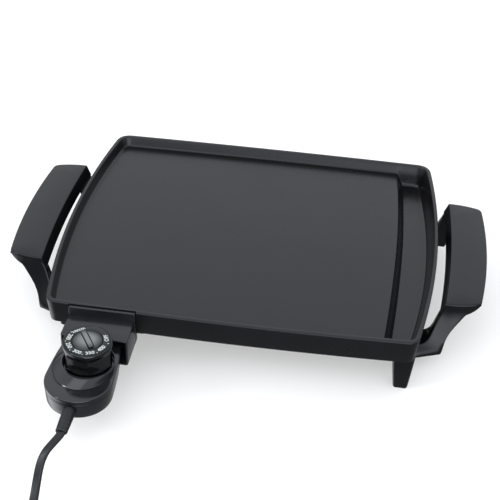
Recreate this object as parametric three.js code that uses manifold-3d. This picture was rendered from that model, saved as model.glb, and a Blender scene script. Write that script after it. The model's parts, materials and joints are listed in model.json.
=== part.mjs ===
// Electric griddle: a bowed cast tray with a grease trough, two bracket handles, four feet and a
// plug-in heat control with its dial, probe and cord. Millimetres, +Z up, front towards -Y.
// The origin is the middle of the footprint, on the surface that the griddle stands on.

import * as THREE from 'three';
import { mergeVertices } from 'three/addons/utils/BufferGeometryUtils.js';
import Module from 'manifold-3d';

const wasm = await Module();
wasm.setup();

// ---------------------------------------------------------------- driving dimensions

const FIT = 0.3; // gap between pieces that touch
const RIM_HEIGHT = 51; // rim above the table
const TRAY_BACK_SHIFT = 50.83; // tray centre behind the middle of the footprint
const FLOOR = -RIM_HEIGHT; // the table, seen from the rim

// The tray. Its own frame has the rim's plane at z = 0 and the tray's centre at x = y = 0.
const TRAY = {
  halfX: 127.8, // at the corners
  halfY: 114,
  sideBow: 10, // how far each side bulges past the corners
  frontBow: 3.3,
  backBow: 1.2,
  frontCorner: 7,
  backCorner: 10,
  height: 19.2,
  draft: 2,
  sideRim: 2.6,
  endRim: 3.8,
  wallRun: 2.4, // slope of the inner wall between the rim and the plate
  plateTop: -7,
  plateBottom: -12,
  troughFloor: -16.5,
  troughRun: 2,
  stepTop: 106.9, // x of the edge where the plate falls into the trough
  stepFoot: 113,
  stepCurveFront: 2.6e-4, // how fast the step bends away from x = stepTop
  stepCurveBack: 4.5e-4,
  skirt: 5.2, // inset of the hollow under the plate
  hollowEndX: 100,
};

const BOSS = { radius: 4, bottom: -27, hole: 1.6, leftTop: -11.5, rightTop: -17.5, holeTop: -19 };
const SCREW = { shank: 1.3, head: 2.9, headHeight: 2 };
const FOOT = { x: 119.6, frontY: -97.4, backY: 98, top: 8, foot: 4.8, topZ: -TRAY.height - FIT };

const HANDLE = {
  innerX: 147.4,
  innerFlare: 2.9, // how much nearer to the tray the grip's lower inner edge is
  innerBow: 2.8,
  innerHalfY: 64.4,
  outerX: 174,
  outerBow: 4,
  outerHalfY: 59.6,
  endHalfY: 64.5,
  endBow: 8.5e-3,
  centreY: 1.5,
  top: -3,
  bottom: -13,
  edge: 1.8,
  postX: 119.5,
  postY: 60,
  railIn: 112,
  railOut: 127.5,
  railTop: -33,
  railBottom: -41,
  armFloor: -32.5,
  armFlare: 9.5, // how much further out in y the arm's foot is than its top
  armSplay: 0.4, // slope in plan of the foot's face, wider towards the tray
  armBackY: 58.5,
  railHalfY: 72.5,
};

// The heat control. Its own frame keeps the tray's y and z, with x = 0 on the probe's axis.
const CONTROL_X = -88.9;
const CASE = {
  endY: -173, // centre of the round end
  endRadius: 22.7,
  neckY: -148,
  neckHalf: 21,
  mouthY: -140.3,
  mouthHalf: 20,
  noseY: -131,
  noseHalf: 18.8,
  noseBottom: -24.8,
  top: -13,
  split: -16.4,
  bottom: -29,
  wall: 2.1,
};
const PIN = { spread: 12.7, z: -19.5, radius: 2.2, backY: -104.9, tipY: -144 };
const PROBE = { radius: 2.5, bore: 1.9, tipY: -76, endY: -149.6 };
const GUARD = { x: 1.3, half: 23, top: -7, bottom: -28, frontY: -139, backY: -114.5, wall: 1.8 };
const DIAL = {
  x: 3.1,
  y: -159.5,
  bottom: -10.2,
  face: 7.2,
  radius: 15.9,
  bulge: 16.6,
  shaft: 2.4,
  cap: 10,
};
const CORD_EXIT = { x: -0.6, z: -21, caseY: -196, tipY: -215.8 };
const ELEMENT = { radius: 3.25, z: -16.5, bend: 16, leftX: -101, backY: 85, rightX: 88, frontY: -68 };

// The cord: a flat two-core lead that drops to the table and is wound into a tied coil.
const CORD = { width: 5.6, thick: 3, z: FLOOR + 1.6 };
const COIL = { x: -61.9, y: -293, inner: 27, outer: 39, bottom: FLOOR + 1.1, top: FLOOR + 7 };
const PLUG = { x: -14, y: -330, z: FLOOR + 6.8, length: 27 };

const CORD_ROUTE = [
  [-89.5, -216.1, -21],
  [-89.55, -217.7, -21],
  [-90.7, -221.2, -21.3],
  [-92.8, -225.4, -22.4],
  [-95.6, -229.8, -25],
  [-97.4, -234, -28.8],
  [-98.3, -238, -33.6],
  [-98.7, -242, -38.8],
  [-98.8, -246.6, -43.4],
  [-98.6, -252, -46.8],
  [-98.2, -258.5, -48.8],
  [-98, -266, CORD.z],
  [-98, -275, CORD.z],
];
const TAIL_ROUTE = [
  [-58, -329.1, -46],
  [-48, -329.4, -46.2],
  [-38, -329.8, -46],
  [-29, -330, -45],
  [-22, -330, PLUG.z],
  [PLUG.x - FIT, -330, PLUG.z],
];

// ---------------------------------------------------------------- materials

const finish = (color, roughness, metalness = 0) =>
  new THREE.MeshStandardMaterial({ color, roughness, metalness });
const NONSTICK = finish(0x2c2c2f, 0.45, 0.2);
const MOULDED = finish(0x17181a, 0.35);
const GUARD_PLASTIC = finish(0x141416, 0.3);
const DIAL_PLASTIC = finish(0x111614, 0.3);
const DIAL_PRINT = finish(0x3c4340, 0.5);
const SATIN = finish(0xb9bbbd, 0.3, 1);
const STEEL = finish(0x9b9da0, 0.35, 1);
const BRASS = finish(0xb08d45, 0.35, 1);
const CERAMIC = finish(0xe6e1d4, 0.7);
const CORD_RUBBER = finish(0x161617, 0.6);

// ---------------------------------------------------------------- solids

/** A closed geometry as a manifold solid. */
function solid(geometry) {
  const bare = geometry.clone();
  bare.deleteAttribute('normal');
  bare.deleteAttribute('uv');
  const merged = mergeVertices(bare, 1e-4);
  const vertProperties = new Float32Array(merged.attributes.position.array);
  const triVerts = new Uint32Array(merged.index.array);
  return new wasm.Manifold(new wasm.Mesh({ numProp: 3, vertProperties, triVerts }));
}

/** A manifold solid as a named mesh. */
function piece(name, body, material) {
  const mesh = body.getMesh();
  const geometry = new THREE.BufferGeometry();
  geometry.setAttribute('position', new THREE.BufferAttribute(mesh.vertProperties, 3));
  geometry.setIndex(new THREE.BufferAttribute(mesh.triVerts, 1));
  geometry.computeVertexNormals();
  const made = new THREE.Mesh(geometry, material);
  made.name = name;
  return made;
}

function box([x0, x1], [y0, y1], [z0, z1]) {
  const geometry = new THREE.BoxGeometry(x1 - x0, y1 - y0, z1 - z0);
  return solid(geometry.translate((x0 + x1) / 2, (y0 + y1) / 2, (z0 + z1) / 2));
}

/** A solid turned about an upright axis, from [radius, z] points. */
function turned(profile, x, y, sides = 16) {
  const points = profile.map(([radius, z]) => new THREE.Vector2(radius, z));
  const geometry = new THREE.LatheGeometry(points, sides);
  return solid(geometry.rotateX(Math.PI / 2).translate(x, y, 0));
}

/** The same about an axis along y, from [radius, y] points. */
function turnedAlongY(profile, x, z, sides = 16) {
  const points = profile.map(([radius, y]) => new THREE.Vector2(radius, y));
  return solid(new THREE.LatheGeometry(points, sides).translate(x, 0, z));
}

function upright(radius, x, y, z0, z1, sides = 16) {
  return turned([[0, z0], [radius, z0], [radius, z1], [0, z1]], x, y, sides);
}

function rodAlongY(radius, x, z, y0, y1, sides = 16) {
  return turnedAlongY([[0, y0], [radius, y0], [radius, y1], [0, y1]], x, z, sides);
}

/** A solid through level outlines of as many points each, the first at heights[0]. */
function stack(outlines, heights) {
  const shape = new THREE.Shape(outlines[0].map(([x, y]) => new THREE.Vector2(x, y)));
  const steps = heights.length - 1;
  const geometry = new THREE.ExtrudeGeometry(shape, { depth: steps, steps, bevelEnabled: false });
  const place = geometry.attributes.position;
  for (let i = 0; i < place.count; i++) {
    const near = ([x, y]) => Math.hypot(x - place.getX(i), y - place.getY(i)) < 1e-4;
    const corner = outlines[0].findIndex(near);
    const layer = Math.round(place.getZ(i));
    place.setXYZ(i, ...outlines[layer][corner], heights[layer]);
  }
  return solid(geometry);
}

/** Evenly spaced numbers from a to b, both included. */
function spaced(a, b, steps) {
  return Array.from({ length: steps + 1 }, (_, i) => a + ((b - a) * i) / steps);
}

/** The points of a rounded corner between two points, without those two. */
function rounded(a, corner, b, steps = 4) {
  const curve = new THREE.QuadraticBezierCurve(
    new THREE.Vector2(...a),
    new THREE.Vector2(...corner),
    new THREE.Vector2(...b),
  );
  return curve.getPoints(steps).slice(1, -1).map((p) => [p.x, p.y]);
}

/** A tube of the given section along a smooth curve through the points. */
function tube(points, section, steps) {
  const path = new THREE.CatmullRomCurve3(points.map((p) => new THREE.Vector3(...p)));
  const shape = new THREE.Shape(section.map(([x, y]) => new THREE.Vector2(x, y)));
  return solid(new THREE.ExtrudeGeometry(shape, { steps, extrudePath: path, bevelEnabled: false }));
}

function roundSection(radius, sides, squash = 1) {
  return spaced(0, 2 * Math.PI, sides)
    .slice(0, -1)
    .map((a) => [radius * squash * Math.cos(a), radius * Math.sin(a)]);
}

/** A rounded rectangle about a point. */
function roundedRectangle(x, y, halfX, halfY, radius) {
  const corners = [[1, -1], [1, 1], [-1, 1], [-1, -1]];
  return corners.flatMap(([sx, sy]) => {
    const a = [x + sx * halfX, y + sy * (halfY - radius)];
    const b = [x + sx * (halfX - radius), y + sy * halfY];
    const [first, last] = sx * sy < 0 ? [b, a] : [a, b];
    return [first, ...rounded(first, [x + sx * halfX, y + sy * halfY], last, 3), last];
  });
}

function join(...bodies) {
  return bodies.reduce((all, body) => all.add(body));
}

function cut(body, ...tools) {
  return tools.reduce((all, tool) => all.subtract(tool), body);
}

// ---------------------------------------------------------------- tray

/** The tray's bowed outline, drawn in by insetX at the sides and insetY at the front and back. */
function trayOutline(insetX, insetY = insetX) {
  const halfX = TRAY.halfX - insetX;
  const halfY = TRAY.halfY - insetY;
  const front = Math.max(TRAY.frontCorner - insetX, 2);
  const back = Math.max(TRAY.backCorner - insetX, 4);
  const sideX = (y) => halfX + TRAY.sideBow * (1 - (y / halfY) ** 2);
  const frontY = (x) => -halfY - TRAY.frontBow * (1 - (x / halfX) ** 2);
  const backY = (x) => halfY + TRAY.backBow * (1 - (x / halfX) ** 2);
  const right = spaced(-halfY + front, halfY - back, 10).map((y) => [sideX(y), y]);
  const rear = spaced(halfX - back, back - halfX, 6).map((x) => [x, backY(x)]);
  const left = right.map(([x, y]) => [-x, y]).reverse();
  const near = spaced(front - halfX, halfX - front, 8).map((x) => [x, frontY(x)]);
  return [
    ...right,
    ...rounded(right.at(-1), [halfX, halfY], rear[0]),
    ...rear,
    ...rounded(rear.at(-1), [-halfX, halfY], left[0]),
    ...left,
    ...rounded(left.at(-1), [-halfX, -halfY], near[0]),
    ...near,
    ...rounded(near.at(-1), [halfX, -halfY], right[0]),
  ];
}

/** The trough's outline: the tray's right side, and the step's bowed edge on the left. */
function troughOutline(insetX, insetY, stepX) {
  const halfX = TRAY.halfX - insetX;
  const halfY = TRAY.halfY - insetY;
  const corner = 4;
  const edgeX = (y) => stepX - (y < 0 ? TRAY.stepCurveFront : TRAY.stepCurveBack) * y * y;
  const sideX = (y) => halfX + TRAY.sideBow * (1 - (y / halfY) ** 2);
  const right = spaced(corner - halfY, halfY - corner, 10).map((y) => [sideX(y), y]);
  const edge = spaced(halfY, -halfY, 10).map((y) => [edgeX(y), y]);
  return [
    ...right,
    ...rounded(right.at(-1), [halfX, halfY], [halfX - corner, halfY]),
    [halfX - corner, halfY],
    ...edge,
    [halfX - corner, -halfY],
    ...rounded([halfX - corner, -halfY], [halfX, -halfY], right[0]),
  ];
}

/** Where the feet and handles are screwed to the tray: [x, y, top of the boss]. */
const FOOT_PLACES = [
  [FOOT.x, FOOT.frontY, BOSS.rightTop],
  [FOOT.x, FOOT.backY, BOSS.rightTop],
  [-FOOT.x, FOOT.backY, BOSS.leftTop],
];
const HANDLE_PLACES = [
  [HANDLE.postX, -HANDLE.postY, BOSS.rightTop],
  [HANDLE.postX, HANDLE.postY, BOSS.rightTop],
  [-HANDLE.postX, -HANDLE.postY, BOSS.leftTop],
  [-HANDLE.postX, HANDLE.postY, BOSS.leftTop],
];
const GUARD_SCREWS = [-24.8, 24.8].map((x) => [CONTROL_X + x, -104.5]);
const LUGS = [
  [ELEMENT.leftX, 20, 7, 5],
  [ELEMENT.rightX, 10, 7, 5],
  [0, ELEMENT.backY, 5, 7],
  [10, ELEMENT.frontY, 5, 7],
];

/** The heating element's tube, or a fatter copy of it to cut its seats. */
function elementTube(radius, sides) {
  const { leftX, backY, rightX, frontY, bend, z } = ELEMENT;
  const pinX = CONTROL_X + PIN.spread;
  const turn = (x, y, from) =>
    spaced(from, from - Math.PI / 2, 4).map((a) => [x + bend * Math.cos(a), y + bend * Math.sin(a), z]);
  const route = [
    [leftX, PIN.backY + FIT, PIN.z],
    [leftX, -99, PIN.z],
    [leftX, -88, z],
    [leftX, -30, z],
    [leftX, 30, z],
    ...turn(leftX + bend, backY - bend, Math.PI),
    [-40, backY, z],
    [30, backY, z],
    ...turn(rightX - bend, backY - bend, Math.PI / 2),
    [rightX, 30, z],
    [rightX, -20, z],
    ...turn(rightX - bend, frontY + bend, 0),
    [30, frontY, z],
    [-20, frontY, z],
    [pinX + bend + 4, frontY, z],
    [pinX + 7, frontY - 2.5, z],
    [pinX + 1.4, frontY - 9, z],
    [pinX, frontY - 18, z],
    [pinX, -99, PIN.z],
    [pinX, PIN.backY + FIT, PIN.z],
  ];
  return tube(route, roundSection(radius, sides), 60);
}

function makeTray() {
  const { height, draft, sideRim, endRim, wallRun, plateTop, plateBottom, troughFloor } = TRAY;
  const casting = stack(
    [trayOutline(draft + 1.2), trayOutline(draft), trayOutline(0.15), trayOutline(0.7)],
    [-height, -height + 1.4, -0.7, 0],
  );
  const mouth = trayOutline(sideRim, endRim);
  const recess = stack([trayOutline(sideRim + wallRun, endRim + wallRun), mouth, mouth], [plateTop, 0, 1]);
  const low = sideRim + wallRun + TRAY.troughRun;
  const trough = stack(
    [
      troughOutline(low, endRim + wallRun + 1, TRAY.stepFoot),
      troughOutline(sideRim + wallRun, endRim + wallRun, TRAY.stepTop),
    ],
    [troughFloor, plateTop + 0.01],
  );
  const hollow = stack([trayOutline(TRAY.skirt), trayOutline(TRAY.skirt)], [-height - 1, plateBottom])
    .intersect(box([-150, TRAY.hollowEndX], [-130, 130], [-30, 0]));
  const bosses = [...FOOT_PLACES, ...HANDLE_PLACES].map(([x, y, top]) =>
    upright(BOSS.radius, x, y, BOSS.bottom, top),
  );
  const guardBosses = GUARD_SCREWS.map(([x, y]) => upright(BOSS.radius, x, y, -height, BOSS.leftTop));
  const lugs = LUGS.map(([x, y, halfX, halfY]) =>
    box([x - halfX, x + halfX], [y - halfY, y + halfY], [-height, plateBottom + 0.5]),
  );
  const channel = box([CONTROL_X - 5, CONTROL_X + 5], [-106, -72], [PIN.z - 4.5, plateBottom + 0.5]);
  const holes = [...FOOT_PLACES, ...HANDLE_PLACES].map(([x, y]) =>
    upright(BOSS.hole, x, y, BOSS.bottom - 1, BOSS.holeTop, 10),
  );
  const guardHoles = GUARD_SCREWS.map(([x, y]) => upright(BOSS.hole, x, y, -height - 1, -14, 10));
  const pocket = box([-111.1, -63.7], [-125, GUARD.backY + FIT], [-height - 1, 1]);
  const notch = box([-106.5, -70], [-120, -106], [-height - 1, PIN.z + 4.2]);
  const bore = rodAlongY(PROBE.radius + 0.5, CONTROL_X, PIN.z, -107, -71);
  return cut(
    join(cut(casting, recess, trough, hollow), ...bosses, ...guardBosses, ...lugs, channel),
    ...holes,
    ...guardHoles,
    pocket,
    notch,
    bore,
    elementTube(ELEMENT.radius + FIT, 10),
  );
}

// ---------------------------------------------------------------- screws, feet and handles

/** A pan-head screw pointing up, with its head under z. */
function makeScrew(x, y, z, tipZ) {
  const { shank, head, headHeight } = SCREW;
  const profile = [
    [0, z - headHeight],
    [head * 0.7, z - headHeight],
    [head, z - headHeight * 0.5],
    [head, z],
    [shank, z],
    [shank, tipZ - 1],
    [0, tipZ],
  ];
  return turned(profile, x, y, 10);
}

/** The socket that takes a boss and its screw: a pocket, a clearance hole and a counterbore. */
function bossSocket(x, y, bossBottom, seat) {
  return join(
    upright(BOSS.radius + FIT + 0.1, x, y, bossBottom - FIT, bossBottom + 20),
    upright(SCREW.shank + 0.7, x, y, seat - 1, bossBottom, 10),
    upright(SCREW.head + 0.5, x, y, FLOOR - 1, seat, 12),
  );
}

/** A tapered foot that ends on the table. */
function makeFoot(x, y, topZ, bossBottom) {
  const outlines = [FOOT.foot, FOOT.foot + 0.5, FOOT.top].map((half) =>
    roundedRectangle(x, y, half, half, 1.8),
  );
  const body = stack(outlines, [FLOOR, FLOOR + 1, topZ]);
  return cut(body, bossSocket(x, y, bossBottom, bossBottom - 4));
}

/** The right handle: a bowed grip on two arms, whose feet reach a rail under the tray. */
function makeRightHandle() {
  const { innerX, innerBow, innerHalfY, outerX, outerBow, outerHalfY, endHalfY, endBow, centreY } = HANDLE;
  const endY = (x) => endHalfY - endBow * Math.max(x - innerX, 0) ** 2;
  const gripOutline = (inset, flare, tuck) => {
    const inner = spaced(innerHalfY - inset, inset - innerHalfY, 8).map((y) => [
      innerX - flare + inset - innerBow * (y / innerHalfY) ** 2,
      y,
    ]);
    const sideX = outerX - tuck - inset;
    const reach = outerHalfY - 3 - inset;
    const outer = spaced(-reach, reach, 8).map((y) => [sideX - outerBow * (y / outerHalfY) ** 2, y]);
    const cornerX = sideX - outerBow;
    const cornerY = endY(cornerX) - inset;
    const end = spaced(innerX, cornerX - 4, 3).map((x) => [x, endY(x) - inset]);
    const low = end.map(([x, y]) => [x, -y]);
    return [
      ...inner,
      ...low,
      ...rounded(low.at(-1), [cornerX, -cornerY], outer[0]),
      ...outer,
      ...rounded(outer.at(-1), [cornerX, cornerY], end.at(-1)),
      ...end.reverse(),
    ].map(([x, y]) => [x, y + centreY]);
  };
  const { edge, top, bottom, innerFlare } = HANDLE;
  const grip = stack(
    [
      gripOutline(edge, innerFlare, 9),
      gripOutline(0.3, innerFlare, 6.2),
      gripOutline(0, innerFlare * 0.7, 3),
      gripOutline(0, innerFlare * 0.4, 0.6),
      gripOutline(0.4, 0.2, 0),
      gripOutline(edge, 0.4, 0),
    ],
    [bottom, bottom + edge, bottom + 4, top - 2 * edge, top - 0.5, top],
  );
  const armProfile = [
    [168.5, -6],
    [162.7, -9.5],
    [156.8, -16.6],
    [151, -25],
    [148, -32],
    [146.5, -39],
    [145, HANDLE.railBottom],
    [137, HANDLE.railBottom],
    [HANDLE.railOut, HANDLE.railBottom],
    [HANDLE.railIn, HANDLE.railBottom],
    [HANDLE.railIn, HANDLE.armFloor],
    [HANDLE.railOut, HANDLE.armFloor],
    [132.5, -32],
    [135.8, -29.8],
    [137.7, -26.4],
    [139.1, -22],
    [140.7, -16.6],
    [142.6, -10.8],
    [146.2, -5.4],
  ];
  const { armFlare, armSplay, armBackY, railIn, railOut, railTop, railBottom, railHalfY } = HANDLE;
  const armFace = (x, z) => {
    const down = Math.min(Math.max((-5 - z) / 33, 0), 1);
    const splay = armSplay * Math.max(innerX - Math.max(x, railOut), 0) * down ** 2;
    return endY(x) - 0.1 + armFlare * (1 - Math.cos((down * Math.PI) / 2)) + splay;
  };
  const arm = (side) => {
    const shape = new THREE.Shape(armProfile.map(([x, z]) => new THREE.Vector2(x, z)));
    const geometry = new THREE.ExtrudeGeometry(shape, { depth: 1, bevelEnabled: false });
    const place = geometry.attributes.position;
    for (let i = 0; i < place.count; i++) {
      const x = place.getX(i);
      const z = place.getY(i);
      const face = armFace(x, z);
      place.setXYZ(i, x, face + (armBackY - face) * place.getZ(i), z);
    }
    const made = solid(geometry);
    return (side > 0 ? made : made.mirror([0, 1, 0])).translate([0, centreY, 0]);
  };
  const post = (y) => {
    const half = 7.6;
    return box([HANDLE.postX - half, HANDLE.postX + half], [y - half, y + half], [railTop - 1, FOOT.topZ]);
  };
  const rail = box([railIn, railOut], [-railHalfY, railHalfY], [railBottom, railTop]);
  const body = join(grip, arm(1), arm(-1), rail, post(-HANDLE.postY), post(HANDLE.postY));
  const sockets = [-HANDLE.postY, HANDLE.postY].map((y) =>
    bossSocket(HANDLE.postX, y, BOSS.bottom, BOSS.bottom - 4),
  );
  return cut(body, ...sockets);
}

// ---------------------------------------------------------------- probe guard and terminals

const GUARD_FOOT = { x: -94, y: -125, bossBottom: -35 };

/** The housing round the terminals: a box open to the front, with a flange, cheeks and two screw tabs. */
function makeGuard() {
  const { half, top, bottom, frontY, backY, wall } = GUARD;
  const x = CONTROL_X + GUARD.x;
  const outer = box([x - half, x + half], [frontY, backY], [bottom, top]);
  const inner = box(
    [x - half + wall, x + half - wall],
    [frontY - 1, backY - 2.8],
    [bottom + 2.3, top - wall],
  );
  const flange = box([-110.6, -64.2], [backY - 2.3, backY], [-19, -0.9]);
  const tabs = GUARD_SCREWS.map(([tabX]) => box([tabX - 5.4, tabX + 5.4], [-111.2, -98.5], [-22, FOOT.topZ]));
  const cheeks = [x - half, x + half - wall].map((left) =>
    box([left, left + wall], [backY - 1, -109.5], [bottom, FOOT.topZ]),
  );
  const holes = GUARD_SCREWS.map(([hx, hy]) => upright(SCREW.shank + 0.6, hx, hy, -23, -18, 10));
  const terminals = [-1, 1].map((side) =>
    rodAlongY(4.1, CONTROL_X + side * PIN.spread, PIN.z, backY - 4, backY + 1),
  );
  const probeHole = rodAlongY(PROBE.radius + 0.8, CONTROL_X, PIN.z, backY - 4, backY + 1);
  const { x: footX, y: footY, bossBottom } = GUARD_FOOT;
  const boss = upright(BOSS.radius, footX, footY, bossBottom, bottom + 0.5);
  const bossHole = upright(BOSS.hole, footX, footY, bossBottom - 1, bottom + 0.3, 10);
  return cut(
    join(cut(outer, inner), flange, ...tabs, ...cheeks, boss),
    ...holes,
    ...terminals,
    probeHole,
    bossHole,
  );
}

function makeTerminalPin(side) {
  const { radius, backY, tipY, z } = PIN;
  const profile = [[0, tipY], [radius * 0.5, tipY], [radius, tipY + 1.6], [radius, backY], [0, backY]];
  return turnedAlongY(profile, CONTROL_X + side * PIN.spread, z, 12);
}

function makeInsulator(side) {
  const bore = PIN.radius + FIT;
  const profile = [[bore, -119], [3.4, -119], [3.7, -118], [3.7, -106.5], [bore, -106.5], [bore, -119]];
  return turnedAlongY(profile, CONTROL_X + side * PIN.spread, PIN.z, 12);
}

// ---------------------------------------------------------------- heat control

/** The case's outline: a round end and a slightly waisted neck. */
function caseOutline(inset) {
  const { endY, endRadius, neckY, neckHalf, mouthY, mouthHalf } = CASE;
  const radius = endRadius - inset;
  const end = spaced(Math.PI, 2 * Math.PI, 16).map((a) => [
    radius * Math.cos(a),
    endY + radius * Math.sin(a),
  ]);
  const neck = [[neckHalf - inset, neckY], [mouthHalf - inset, mouthY - inset * 0.5]];
  return [...end, ...neck, ...neck.map(([x, y]) => [-x, y]).reverse()];
}

const CASE_SCREWS = [[-15.2, -166], [15.2, -166], [0, -183]];
const DIAL_HOLE = 5.2;

/** The collar round the dial: a cone that leans to the dial and reaches further to the front. */
function collar() {
  const egg = (radius, reach, x, y) =>
    spaced(0, 2 * Math.PI, 28)
      .slice(0, -1)
      .map((a) => {
        const forward = Math.max(-Math.sin(a), 0);
        const size = radius + reach * forward * forward;
        return [x + size * Math.cos(a), y + size * Math.sin(a)];
      });
  return stack(
    [
      egg(20, 3.6, 0, DIAL.y - 1),
      egg(19.8, 3.5, 0.1, DIAL.y - 1),
      egg(18, 1.2, DIAL.x - 0.3, DIAL.y),
      egg(17.5, 1, DIAL.x - 0.2, DIAL.y),
    ],
    [-13.5, -12.6, -8.9, -8.5],
  );
}

function makeUpperCase() {
  const { top, split, wall, noseY, noseHalf } = CASE;
  const lid = stack(
    [caseOutline(0.1), caseOutline(0.1), caseOutline(0.6), caseOutline(1.7)],
    [split + FIT / 2, top - 1.6, top - 0.5, top],
  );
  const nose = box([-noseHalf, noseHalf], [CASE.mouthY - 3, noseY], [split + FIT / 2, top - 0.3]);
  const hollow = stack([caseOutline(wall), caseOutline(wall)], [split - 1, top - 2]);
  const noseHollow = box(
    [wall - noseHalf, noseHalf - wall],
    [CASE.mouthY - 4, noseY - wall],
    [split - 1, top - 2],
  );
  const bosses = CASE_SCREWS.map(([x, y]) => upright(2.7, x, y, split + FIT / 2, top - 1.5, 12));
  const holes = CASE_SCREWS.map(([x, y]) => upright(1.5, x, y, split - 1, top - 1.2, 10));
  return cut(
    join(cut(lid.add(nose), hollow, noseHollow), collar(), ...bosses),
    upright(DIAL.bulge + 0.3, DIAL.x, DIAL.y, top, 0, 28),
    upright(DIAL_HOLE, DIAL.x, DIAL.y, top - 3, top + 1),
    ...holes,
  );
}

function makeLowerCase() {
  const { split, bottom, wall, noseY, noseHalf, noseBottom, mouthY } = CASE;
  const top = split - FIT / 2;
  const tub = stack([caseOutline(2.6), caseOutline(0.9), caseOutline(0.1)], [bottom, bottom + 1.6, top]);
  const nose = box([-noseHalf, noseHalf], [mouthY - 3, noseY], [noseBottom, top]);
  const hollow = stack([caseOutline(3.2), caseOutline(wall)], [bottom + 2, split]);
  const noseHollow = box(
    [wall - noseHalf, noseHalf - wall],
    [mouthY - 4, noseY - 2],
    [noseBottom + 1.6, split],
  );
  const bosses = CASE_SCREWS.map(([x, y]) => upright(2.9, x, y, bottom + 1.9, top, 12));
  const holes = CASE_SCREWS.map(([x, y]) => upright(1.9, x, y, bottom - 1, split, 10));
  const counterbores = CASE_SCREWS.map(([x, y]) =>
    upright(SCREW.head + 0.4, x, y, bottom - 1, bottom + 0.6, 12),
  );
  const openings = [-PIN.spread, PIN.spread].map((x) => rodAlongY(2.9, x, PIN.z, noseY - 3, noseY + 1, 12));
  return cut(
    join(cut(tub.add(nose), hollow, noseHollow), ...bosses),
    ...holes,
    ...counterbores,
    ...openings,
    rodAlongY(PROBE.radius + FIT, 0, PIN.z, noseY - 3, noseY + 1, 12),
    rodAlongY(3.9, CORD_EXIT.x, CORD_EXIT.z, -200, -190, 12),
  );
}

/** A case screw, its head in the counterbore. */
function makeCaseScrew([x, y]) {
  const seat = CASE.bottom + 0.3;
  const profile = [
    [0, seat - 1.5],
    [SCREW.head * 0.8, seat - 1.5],
    [SCREW.head, seat],
    [1.2, seat],
    [1.2, CASE.top - 1.6],
    [0, CASE.top - 1.6],
  ];
  return turned(profile, x, y, 10);
}

function makeDialKnob() {
  const { bottom, face, radius, bulge, shaft } = DIAL;
  const hub = shaft + FIT;
  const profile = [
    [0, face],
    [radius - 0.6, face],
    [radius - 0.6, face + 0.8],
    [radius - 0.1, face + 0.8],
    [bulge - 0.3, face - 0.4],
    [bulge, face - 2.7],
    [bulge - 0.5, -2],
    [bulge - 0.7, bottom],
    [bulge - 2.7, bottom],
    [bulge - 2.4, face - 2.5],
    [5, face - 2.5],
    [5, -8.3],
    [hub, -8.3],
    [hub, 4],
    [0, 4],
  ].reverse();
  return turned(profile, DIAL.x, DIAL.y, 28);
}

function makeDialPlate() {
  const inner = DIAL.cap + FIT;
  const outer = DIAL.radius - 0.9;
  const low = DIAL.face + FIT;
  const high = DIAL.face + 0.9;
  return turned([[inner, low], [outer, low], [outer, high], [inner, high], [inner, low]], DIAL.x, DIAL.y, 28);
}

/** The bright cap in the middle of the dial, with a raised bar that points at the setting. */
function makeDialCap() {
  const low = DIAL.face + FIT;
  const { cap } = DIAL;
  const profile = [
    [0, low],
    [cap, low],
    [cap, low + 0.7],
    [cap * 0.85, low + 1.5],
    [cap * 0.5, low + 2.1],
    [0, low + 2.3],
  ];
  const dome = turned(profile, DIAL.x, DIAL.y, 24);
  const barAngle = 2.13;
  const bar = roundedRectangle(0, 0, cap - 0.8, 1.7, 0.8).map(([x, y]) => [
    DIAL.x + x * Math.cos(barAngle) - y * Math.sin(barAngle),
    DIAL.y + x * Math.sin(barAngle) + y * Math.cos(barAngle),
  ]);
  return dome.add(stack([bar, bar], [low + 0.5, low + 2.6]));
}

/** The ring that the adjusting shaft turns in. */
function makeShaftBushing() {
  const bore = DIAL.shaft + 0.1;
  const profile = [[bore, -18.3], [4.6, -18.3], [4.6, -11.5], [bore, -11.5], [bore, -18.3]];
  return turned(profile, DIAL.x, DIAL.y, 16);
}

/** The bent bracket that holds the bushing above the switch blades, and the probe's end. */
function makeThermostatFrame() {
  const width = [-5.5, 8.6];
  return cut(
    join(
      box(width, [-170, -148], [-26.7, -25.9]),
      box(width, [-149.2, -148], [-26.7, -18.6]),
      box(width, [-166, -148], [-19.4, -18.6]),
    ),
    rodAlongY(PROBE.radius + FIT, 0, PIN.z, PROBE.endY - 1, -147, 12),
    upright(DIAL.shaft + FIT, DIAL.x, DIAL.y, -21, -17, 12),
  );
}

/** The sensing tube, closed at its tip and open inside the case. */
function makeProbeTube() {
  const { radius, bore, tipY, endY } = PROBE;
  const profile = [
    [0, tipY - 1.5],
    [bore, tipY - 2.5],
    [bore, endY],
    [radius, endY],
    [radius, tipY - 2],
    [radius * 0.6, tipY - 0.4],
    [0, tipY],
  ];
  return turnedAlongY(profile, 0, PIN.z, 14);
}

function makeSleeve(side) {
  const bore = PIN.radius + FIT;
  const profile = [[bore, -147], [3.1, -147], [3.1, -133.4], [bore, -133.4], [bore, -147]];
  return turnedAlongY(profile, side * PIN.spread, PIN.z, 12);
}

const BLADES = { half: 2.4, backY: -177, tipY: -153, fixedZ: -25.2, movingZ: -24.1, thick: 0.4 };

function makeBlade(z, tipY) {
  const { half, backY, thick } = BLADES;
  const contact = upright(1.2, DIAL.x, tipY - 2, z, z + thick + 0.2, 10);
  return box([DIAL.x - half, DIAL.x + half], [backY, tipY], [z, z + thick]).add(contact);
}

/** The insulating block that clamps the switch blades. */
function makeBladeBlock() {
  const { half, thick, fixedZ, movingZ } = BLADES;
  const across = (reach) => [DIAL.x - reach, DIAL.x + reach];
  const slot = (z) => box(across(half + FIT), [-180, -170.5], [z - FIT, z + thick + FIT]);
  return cut(box(across(4.6), [-176.5, -171], [-26.7, -18.5]), slot(fixedZ), slot(movingZ));
}

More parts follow.
